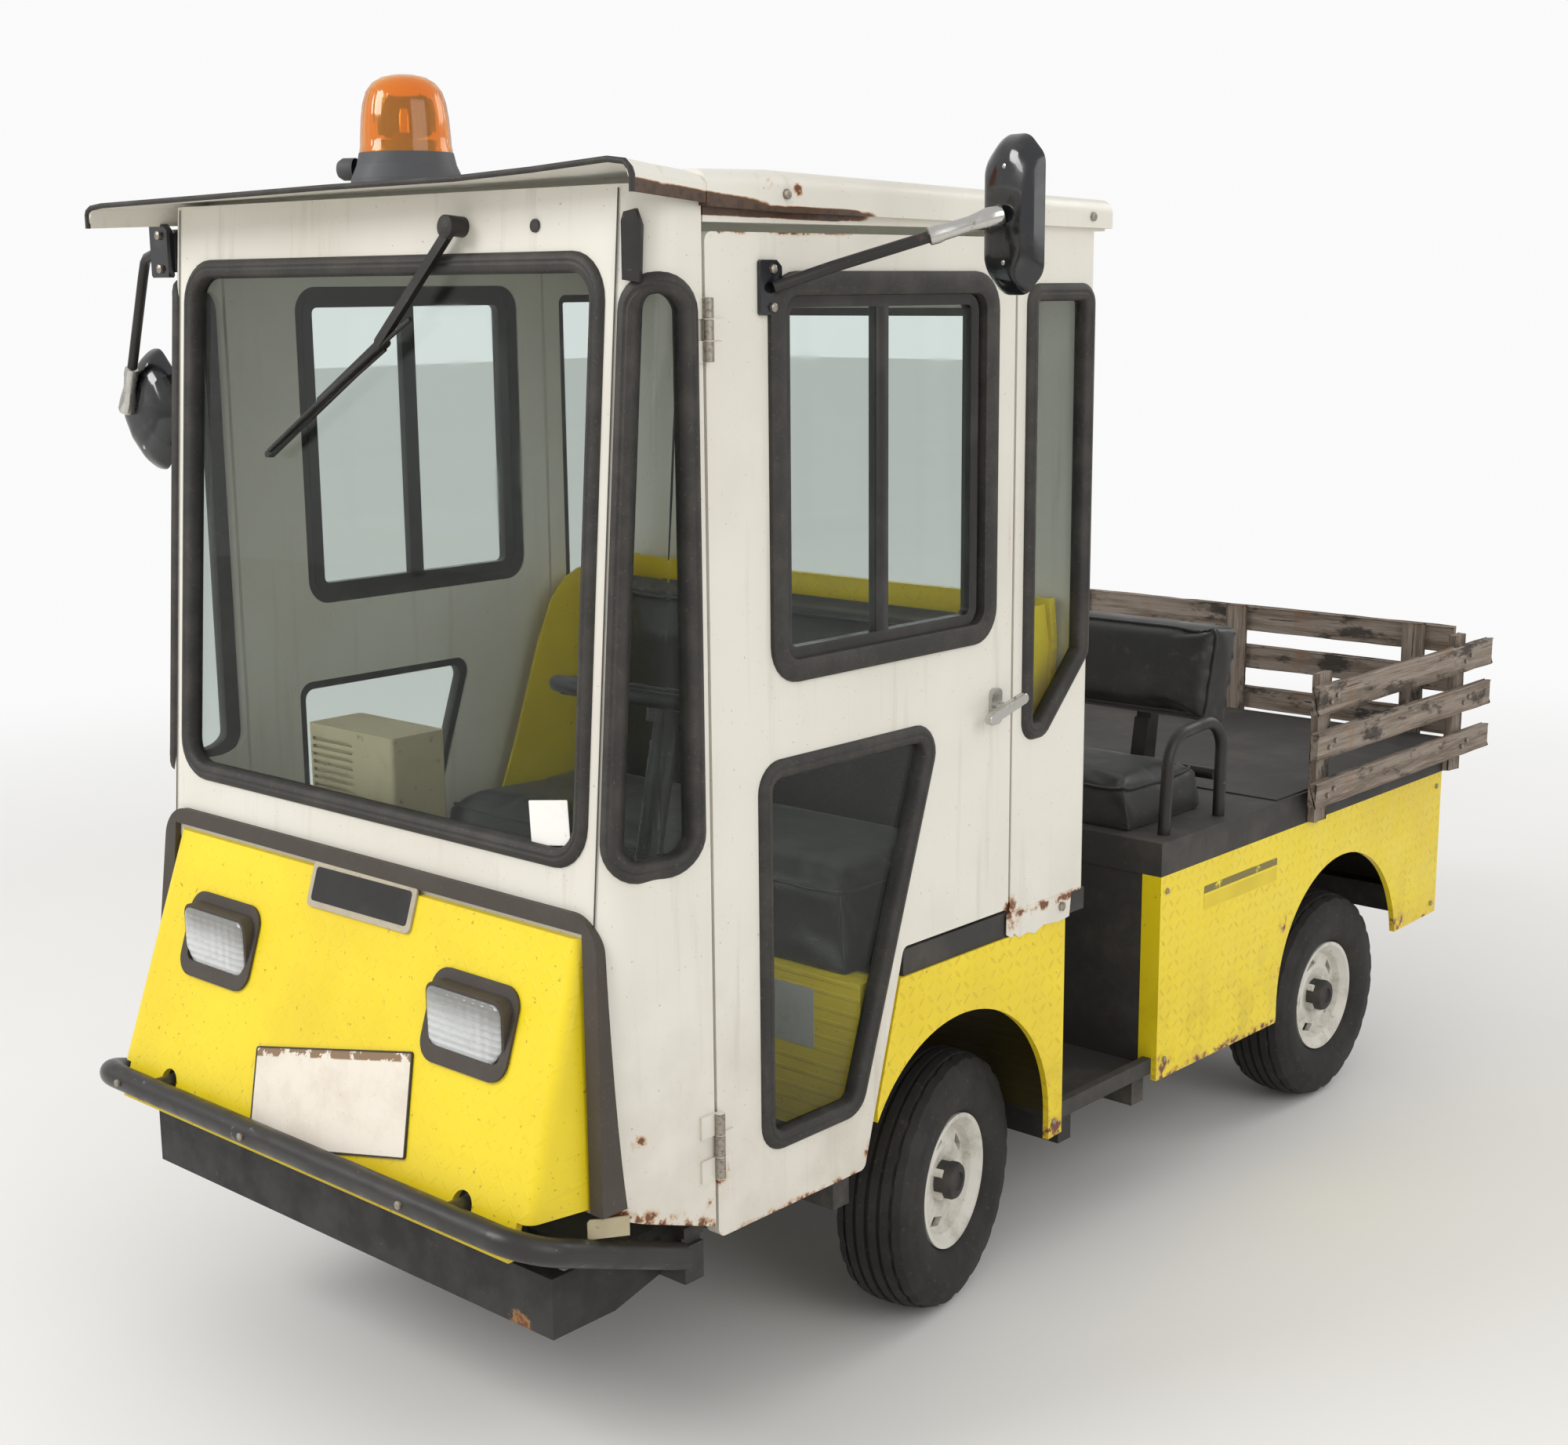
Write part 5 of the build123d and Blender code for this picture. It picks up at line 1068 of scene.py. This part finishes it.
# Bumper and roof bolts, and the grey tab beside the bumper's arm
bumper = {"y": -0.985, "z": 0.460, "radius": 0.021, "bolts": (-0.46, -0.10, 0.30)}
bolts = [((x, along(bumper["y"] - bumper["radius"]), bumper["z"] + 0.002), (0, -1, 0.05)) for x in bumper["bolts"]]
boltSet("bumperBolts", bolts, 0.0065, 0.005, 12, "boltZinc", "cart")
roofBolts = onSides(0.605, ((-0.476, 1.908), (0.139, 1.893), (0.300, 1.891)))
boltSet("roofBolts", roofBolts, 0.0075, 0.006, 12, "boltZinc", "cart")
tab = [(0, 0), (0.062, 0), (0.062, 0.030), (0.004, 0.030), (0, 0.026)]
flatPiece("bumperTabLeft", tab, ((0.556, along(-0.868), 0.437), (0.55, 0.83, 0), (0, 0, 1)), 0.003, "heaterPaint",
          "worn_black_paint")

# The disused bracket on the near corner, the grommet and the wiper's details
bracket = [(0, 0), (0.026, -0.004), (0.030, 0.072), (0.022, 0.094), (0.004, 0.090), (0.0, 0.078)]
flatPiece("cornerBracket", bracket, ((0.546, along(-0.741), 1.790), (0.94, 0.34, 0), (0, 0, 1)), 0.010, "tubeBlack",
          "worn_black_paint")
for name, x, z, lift, radius, height in (("wiperGrommet", 0.364, 1.866, 0.0, 0.0095, 0.004),
                                         ("wiperCap", 0.205, 1.868, 0.026, 0.017, 0.012)):
    boltSet(name, [((x, frontY(z) - lift, z), frontNormal)], radius, height, 20, "windowRubber", "cart",
            "black_rubber")
wiperStrips = [  # name, ends as (x, z), half width, height off the glass
    ("wiperBladeTop", (0.11, 1.735), (-0.245, 1.526), 0.0035, 0.017),
    ("wiperRubber", (0.035, 1.690), (-0.254, 1.517), 0.003, 0.004),
]
for name, start, end, width, rise in wiperStrips:
    line = []
    for k in range(5):
        x, z = (a + (b - a) * k / 4 for a, b in zip(start, end))
        line.append(Vector((x, frontY(z), z)) + frontNormal * (rise + 0.004 * math.sin(math.pi * k / 4)))
    addPiece(name, *tube(line, width, 8), "tubeBlack", "cart", "worn_black_paint")

# Cab seams and the torn flange under the rear quarter
seamSection = [(-0.0012, 0.0), (-0.0012, 0.0006), (0.0012, 0.0006), (0.0012, 0.0)]
flange = [(0.0, 0.012), (0.014, 0.004), (0.022, 0.010), (0.035, 0.0), (0.062, 0.003), (0.085, -0.004), (0.110, 0.006),
          (0.160, 0.001), (0.190, 0.004), (0.196, 0.050), (0.0, 0.050)]
for side, word in bothSides:
    verts = [Vector((side * (0.530 + dx), frontY(z), z)) + frontNormal * out
             for z in (0.858, 1.20, 1.55, 1.913) for dx, out in seamSection]
    addPiece("cabSeam" + word, verts, ringFaces(4, 4, False), "seamDark", "cart", "black_rubber")
    place = ((side * cabSide, along(0.098 if side > 0 else 0.294), 0.662), (0, side, 0), (0, 0, 1))
    flatPiece("tornFlange" + word, flange, place, 0.002, "quarterWhite", "white_paint", smooth=False)
boltSet("flangeBolts", onSides(0.592, [(0.262, 0.690)]), 0.009, 0.006, 6, "boltZinc", "cart")
rivets = ((0.252, 0.285), (0.625, 0.300), (0.620, 0.640), (1.775, 0.360), (1.775, 0.640))
boltSet("panelRivets", onSides(0.5905, rivets), 0.006, 0.003, 10, "boltZinc", "cart")
print("small hardware made")


# Tyres: a worn ribbed tread on a plain sidewall, spun from one section

tyre = {"radius": 0.229, "seat": 0.1085, "bead": 0.0510, "turns": 96, "groove": 0.0065, "notch": 0.004,
        "kingPin": 0.415, "track": 0.4825}
wheels = [  # name, side, length behind the front axle, steer
    ("front_left", 1, 0.0, 12.0),
    ("front_right", -1, 0.0, 12.0),
    ("rear_left", 1, 1.367, 0.0),
    ("rear_right", -1, 1.367, 0.0),
]


def tyreSection():
    # Half from the middle outwards, as (across, drop from the tread, notched)
    g = tyre["groove"]
    half = [(0.0035, g, 0), (0.0045, 0, 0), (0.0185, 0.0003, 0), (0.0195, g, 0), (0.0250, g, 0), (0.0260, 0.001, 0),
            (0.0400, 0.003, 0), (0.0410, 0.003 + g, 0), (0.0455, 0.004 + g, 0), (0.0465, 0.005, 1), (0.0600, 0.010, 1),
            (0.0660, 0.020, 1), (0.0690, 0.031, 0), (0.0700, 0.042, 0), (0.0720, 0.046, 0), (0.0722, 0.060, 0),
            (0.0712, 0.072, 0), (0.0690, 0.080, 0), (0.0680, 0.083, 0), (0.0655, 0.092, 0), (0.0600, 0.1000, 0),
            (0.0530, 0.1070, 0), (tyre["bead"], 0.1080, 0), (tyre["bead"], tyre["radius"] - tyre["seat"], 0)]
    half = [(across, tyre["radius"] - drop, notched) for across, drop, notched in half]
    return [(-a, b, c) for a, b, c in reversed(half)] + half


# The hub cap's rings, as (radius, distance out from the wheel's middle)
hubRings = [(0.0335, 0.030), (0.0335, 0.058), (0.0300, 0.0640), (0.0170, 0.0665), (0.0150, 0.0625), (0.0, 0.0620)]


def makeTyre(name, side, length, steer):
    section = tyreSection()
    verts = []
    for k in range(tyre["turns"]):
        turn = 2 * math.pi * k / tyre["turns"]
        for across, radius, notched in section:
            r = radius - (tyre["notch"] if notched and k % 4 == 0 else 0.0)
            verts.append((across, r * math.cos(turn), r * math.sin(turn)))
    out = Matrix.Translation((side * (tyre["track"] - tyre["kingPin"]), 0, 0))
    kingPin = Matrix.Translation((side * tyre["kingPin"], along(length), tyre["radius"]))
    place = kingPin @ Matrix.Rotation(math.radians(steer), 4, "Z") @ out
    piece = addPiece("tread_" + name, verts, ringFaces(tyre["turns"], len(section)), "tyreRubber", "wheel_" + name,
                     "tyre_rubber", place=place)
    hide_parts("tyre_" + name)
    hub = []
    for k in range(28):
        turn = 2 * math.pi * k / 28
        hub += [(side * out, radius * math.cos(turn), radius * math.sin(turn)) for radius, out in hubRings]
    addPiece("hubCap_" + name, hub, ringFaces(28, len(hubRings), True, False), "dullSteel", "wheel_" + name,
             "dark_steel", place=place)


for entry in wheels:
    makeTyre(*entry)
print("tyres made")


# Weathered boards: each is its own plank with worn edges, its grain along its length

stakes = {
    "slats": [(0.711, 0.055), (0.812, 0.058), (0.906, 0.062)],
    "slatThick": 0.020, "postThick": 0.020, "postWidth": 0.052,
    "front": 1.122, "back": 1.954, "sidePosts": (1.186, 1.822), "low": 0.672, "high": 0.990,
    "gateHalf": 0.562, "gateAt": 1.862, "gatePosts": (0.470, 0.0, -0.470), "gateRise": 0.028,
}
woods = [woodFinish("weatheredWood%d" % i, 1.7 * i) for i in range(5)]


def board(name, middle, size, turn, body, seed):
    # size is (length, depth, width); turn takes the board's own X, Y and Z to where they lie
    rnd = random.Random(seed)
    length, depth, width = size
    steps = 26
    worn = 0.0025
    section = []
    for y, z in ((-1, -1), (1, -1), (1, 1), (-1, 1)):
        for a, b in ((worn, 0), (0, worn)) if y * z > 0 else ((0, worn), (worn, 0)):
            section.append((y * (depth / 2 - a), z * (width / 2 - b)))
    verts = []
    for i in range(steps + 1):
        t = i / steps
        x = -length / 2 + length * t
        for j, (y, z) in enumerate(section):
            wave = noise.noise(Vector((x * 14, seed * 3.7, j * 0.9))) * 0.0012
            rough = noise.noise(Vector((x * 60, seed, j))) * 0.0009
            end = rnd.uniform(-0.003, 0.0) if i in (0, steps) else 0.0
            shift = -end if i == 0 else end
            lift = (wave + rough - abs(wave)) * (1 if z > 0 else -1)
            verts.append((x + shift, y * (1 - abs(rough) / depth), z + lift))
    place = Matrix.Translation(middle) @ turn.to_4x4()
    return addPiece(name, verts, capped(steps + 1, len(section)), woods[seed % len(woods)], body, "weathered_wood",
                    place=place)


alongY = Matrix(((0, 1, 0), (1, 0, 0), (0, 0, 1))).transposed()
alongX = Matrix.Identity(3)
uprightSide = Matrix(((0, 1, 0), (0, 0, 1), (1, 0, 0)))
uprightGate = Matrix(((0, 0, 1), (0, 1, 0), (1, 0, 0)))
seed = 0
thick, rise = stakes["postThick"], stakes["gateRise"]
postSize = (stakes["high"] - stakes["low"], thick, stakes["postWidth"])
middle = (stakes["low"] + stakes["high"]) / 2
for side, word in bothSides:
    for length in stakes["sidePosts"]:
        seed += 1
        place = (side * (cabSide + thick / 2), along(length), middle)
        board("post%s%d" % (word, seed), place, postSize, uprightSide, "cart", seed)
    x = side * (cabSide + thick + stakes["slatThick"] / 2)
    for low, width in stakes["slats"]:
        seed += 1
        place = (x, along((stakes["front"] + stakes["back"]) / 2), low + width / 2)
        size = (stakes["back"] - stakes["front"], stakes["slatThick"], width)
        board("slat%s%d" % (word, seed), place, size, alongY, "cart", seed)
    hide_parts("stake_side_" + word.lower())
    heads = [((side * 0.630, along(length + d), low + width / 2 + d * 0.4), (side, 0, 0))
             for length in stakes["sidePosts"] for low, width in stakes["slats"] for d in (-0.013, 0.013)]
    boltSet("stakeBolts" + word, heads, 0.0055, 0.004, 10, "boltZinc", "cart")
for x in stakes["gatePosts"]:
    seed += 1
    height = stakes["high"] + 0.008 - stakes["low"]
    place = (x, along(stakes["gateAt"] + thick / 2), stakes["low"] + height / 2)
    size = (height, thick, stakes["postWidth"])
    board("gatePost%d" % seed, place, size, uprightGate, "cart", seed)
for low, width in stakes["slats"]:
    seed += 1
    place = (0, along(stakes["gateAt"] + thick + stakes["slatThick"] / 2), low + rise + width / 2)
    size = (2 * stakes["gateHalf"], stakes["slatThick"], width)
    board("gateSlat%d" % seed, place, size, alongX, "cart", seed)
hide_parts("stake_gate_rear")
heads = [((x + d, along(stakes["gateAt"] + 0.040), low + rise + width / 2), (0, 1, 0))
         for x in stakes["gatePosts"] for low, width in stakes["slats"] for d in (-0.012, 0.012)]
boltSet("gateBolts", heads, 0.0055, 0.004, 10, "boltZinc", "cart")
print("stake boards made")


# Seats: each pad is remeshed from its solid, blown up as cloth, then drawn in along its piping

pads = {  # piping is the half width, and its near and far edge as (y, z)
    "cab_seat_cushion": {"rests": (0, 0, -1), "inset": 0.010, "cap": 0.020, "fill": 0.75,
                         "piping": (0.500, (-0.238, 0.805), (0.158, 0.805))},
    "cab_seat_back": {"rests": (0, 1, 0), "inset": 0.009, "cap": 0.018, "fill": 0.75,
                      "piping": (0.500, (0.183, 0.705), (0.203, 1.180))},
    "rear_seat_cushion": {"rests": (0, 0, -1), "inset": 0.009, "cap": 0.018, "fill": 0.7,
                          "piping": (0.482, (0.634, 0.822), (0.892, 0.822))},
    "rear_backrest": {"rests": (0, 1, 0), "inset": 0.008, "cap": 0.016, "fill": 0.7,
                      "piping": (0.484, (0.916, 0.902), (0.962, 1.100))},
}
clothSpec = {"voxel": 0.0105, "frames": 20, "pressure": 4.0, "valley": 0.0035, "reach": 0.011, "bead": 0.0032}


def evaluated(piece):
    graph = bpy.context.evaluated_depsgraph_get()
    return bpy.data.meshes.new_from_object(piece.evaluated_get(graph))


def settle(pad, still, cap):
    # Swells the pad as pressed cloth, held where it rests, with its movement softly capped
    start = [v.co.copy() for v in pad.data.vertices]
    held = pad.vertex_groups.new(name="held")
    held.add(still, 1.0, "REPLACE")
    cloth = pad.modifiers.new("cloth", "CLOTH")
    cloth.settings.quality = 5
    cloth.settings.mass = 0.3
    cloth.settings.use_pressure = True
    cloth.settings.uniform_pressure_force = clothSpec["pressure"]
    cloth.settings.vertex_group_mass = "held"
    cloth.settings.effector_weights.gravity = 0.0
    cloth.point_cache.frame_start = 1
    cloth.point_cache.frame_end = clothSpec["frames"]
    for frameNumber in range(1, clothSpec["frames"] + 1):
        bpy.context.scene.frame_set(frameNumber)
    swollen = evaluated(pad)
    pad.modifiers.clear()
    for v, was, now in zip(pad.data.vertices, start, swollen.vertices):
        move = now.co - was
        if move.length > 1e-7:
            v.co = was + move.normalized() * cap * math.tanh(move.length / cap)
    bpy.data.meshes.remove(swollen)
    pad.vertex_groups.clear()
    bpy.context.scene.frame_set(1)


def makePad(node, spec):
    pad = bpy.data.objects.new("pad_" + node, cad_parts[node].data.copy())
    bpy.context.collection.objects.link(pad)
    remesh = pad.modifiers.new("remesh", "REMESH")
    remesh.mode = "VOXEL"
    remesh.voxel_size = clothSpec["voxel"]
    even = evaluated(pad)
    pad.modifiers.clear()
    pad.data = even
    rests = Vector(spec["rests"])
    still = []
    normals = [v.normal.copy() for v in even.vertices]
    for v, normal in zip(even.vertices, normals):
        facing = normal.dot(rests)
        if facing > 0.75:
            still.append(v.index)
            continue
        v.co -= (normal - rests * max(facing, 0.0)) * spec["inset"]
    settle(pad, still, spec["cap"])
    # The piping's path lies on the pad, and the cover is drawn in beside it
    tree = BVHTree.FromObject(pad, bpy.context.evaluated_depsgraph_get())
    half, near, far = spec["piping"]
    origin = Vector((-half, along(near[0]), near[1]))
    rise = Vector((-half, along(far[0]), far[1])) - origin
    wide, tall, up = 2 * half, rise.length, rise.normalized()
    flat = filled(thinned(roundedOutline([(0, 0), (wide, 0), (wide, tall), (0, tall)], 0.030, 6), 0.004), 0.012)
    path = [tree.find_nearest(origin + Vector((p.x, 0, 0)) + up * p.y)[0] for p in flat]
    line = KDTree(len(path))
    for i, point in enumerate(path):
        line.insert(point, i)
    line.balance()
    for v in pad.data.vertices:
        away = line.find(v.co)[2]
        if away < 3 * clothSpec["reach"]:
            v.co -= v.normal * clothSpec["valley"] * math.exp(-(away / clothSpec["reach"]) ** 2)
    for face in pad.data.polygons:
        face.use_smooth = True
    pad.data.materials.clear()
    pad.data.materials.append(finishes["blackVinyl"])
    finer = pad.modifiers.new("finer", "SUBSURF")
    finer.levels = finer.render_levels = 1
    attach(pad, "cart")
    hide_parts(node)
    smooth = [(path[i - 1] + path[i] * 2 + path[(i + 1) % len(path)]) / 4 for i in range(len(path))]
    middle = sum(smooth, Vector()) / len(smooth)
    bead = []
    for i, point in enumerate(smooth):
        tangent = (smooth[(i + 1) % len(smooth)] - smooth[i - 1]).normalized()
        side = (middle - point).cross(tangent).normalized()
        other = side.cross(tangent).normalized()
        bead += [point + (side * math.cos(k * math.pi / 4) + other * math.sin(k * math.pi / 4)) * clothSpec["bead"]
                 for k in range(8)]
    addPiece("piping_" + node, bead, ringFaces(len(smooth), 8), "blackVinyl", "cart", "black_vinyl")


for node, spec in pads.items():
    makePad(node, spec)
print("seat pads made")


# Light, floor and backdrop

studio = {"floor": "#ecebe8", "sky": 0.74, "page": 0.96, "fade": (2.4, 6.5), "key": 186.0, "fill": 58.0,
          "rim": 44.0}

# The floor is plain paper that turns into the white of the page away from the cart
look = Finish("paleFloor", studio["floor"], rough=0.9)
look.paint(look.times(look.step(look.cloud(0.7, 3.0), 0.3, 0.7), 0.25), "#e4e2dd")
look.done()
away = look.add("ShaderNodeVectorMath", {0: look.place}, operation="LENGTH").outputs["Value"]
seen = look.add("ShaderNodeLightPath").outputs["Is Camera Ray"]
share = look.times(look.step(away, *studio["fade"]), seen)
page = look.add("ShaderNodeEmission", {"Color": (1, 1, 1, 1), "Strength": studio["page"]})
blend = look.add("ShaderNodeMixShader", {0: share})
look.tree.links.new(look.shader.outputs[0], blend.inputs[1])
look.tree.links.new(page.outputs[0], blend.inputs[2])
look.tree.links.new(blend.outputs[0], look.tree.nodes["Material Output"].inputs["Surface"])
floorMesh = bpy.data.meshes.new("floor")
floorMesh.from_pydata([(-40, -40, 0), (40, -40, 0), (40, 40, 0), (-40, 40, 0)], [], [(0, 1, 2, 3)])
floor = bpy.data.objects.new("floor", floorMesh)
floor.data.materials.append(look.mat)
bpy.context.collection.objects.link(floor)

world = bpy.data.worlds.new("studio")
bpy.context.scene.world = world
world.use_nodes = True
tree = world.node_tree
background = tree.nodes["Background"]
background.inputs["Color"].default_value = (1, 1, 1, 1)
path = tree.nodes.new("ShaderNodeLightPath")
seen = tree.nodes.new("ShaderNodeMath")
seen.operation = "MAXIMUM"
tree.links.new(path.outputs["Is Camera Ray"], seen.inputs[0])
tree.links.new(path.outputs["Is Transmission Ray"], seen.inputs[1])
level = tree.nodes.new("ShaderNodeMapRange")
level.inputs["To Min"].default_value = studio["sky"]
level.inputs["To Max"].default_value = studio["page"]
tree.links.new(seen.outputs[0], level.inputs["Value"])
tree.links.new(level.outputs[0], background.inputs["Strength"])


def softbox(name, place, aim, size, power):
    light = bpy.data.objects.new(name, bpy.data.lights.new(name, "AREA"))
    light.data.shape = "RECTANGLE"
    light.data.size, light.data.size_y = size
    light.data.energy = power
    light.location = place
    light.rotation_euler = (Vector(aim) - Vector(place)).to_track_quat("-Z", "Y").to_euler()
    bpy.context.collection.objects.link(light)


softbox("keyLight", (-2.4, -5.2, 4.6), (0, -0.6, 0.9), (2.6, 2.6), studio["key"])
softbox("fillLight", (4.8, -1.2, 3.2), (0, 0, 0.9), (3.2, 3.2), studio["fill"])
softbox("rimLight", (1.5, 4.5, 4.0), (0, 0.5, 0.8), (3.0, 2.0), studio["rim"])
bpy.context.scene.view_settings.view_transform = "Standard"
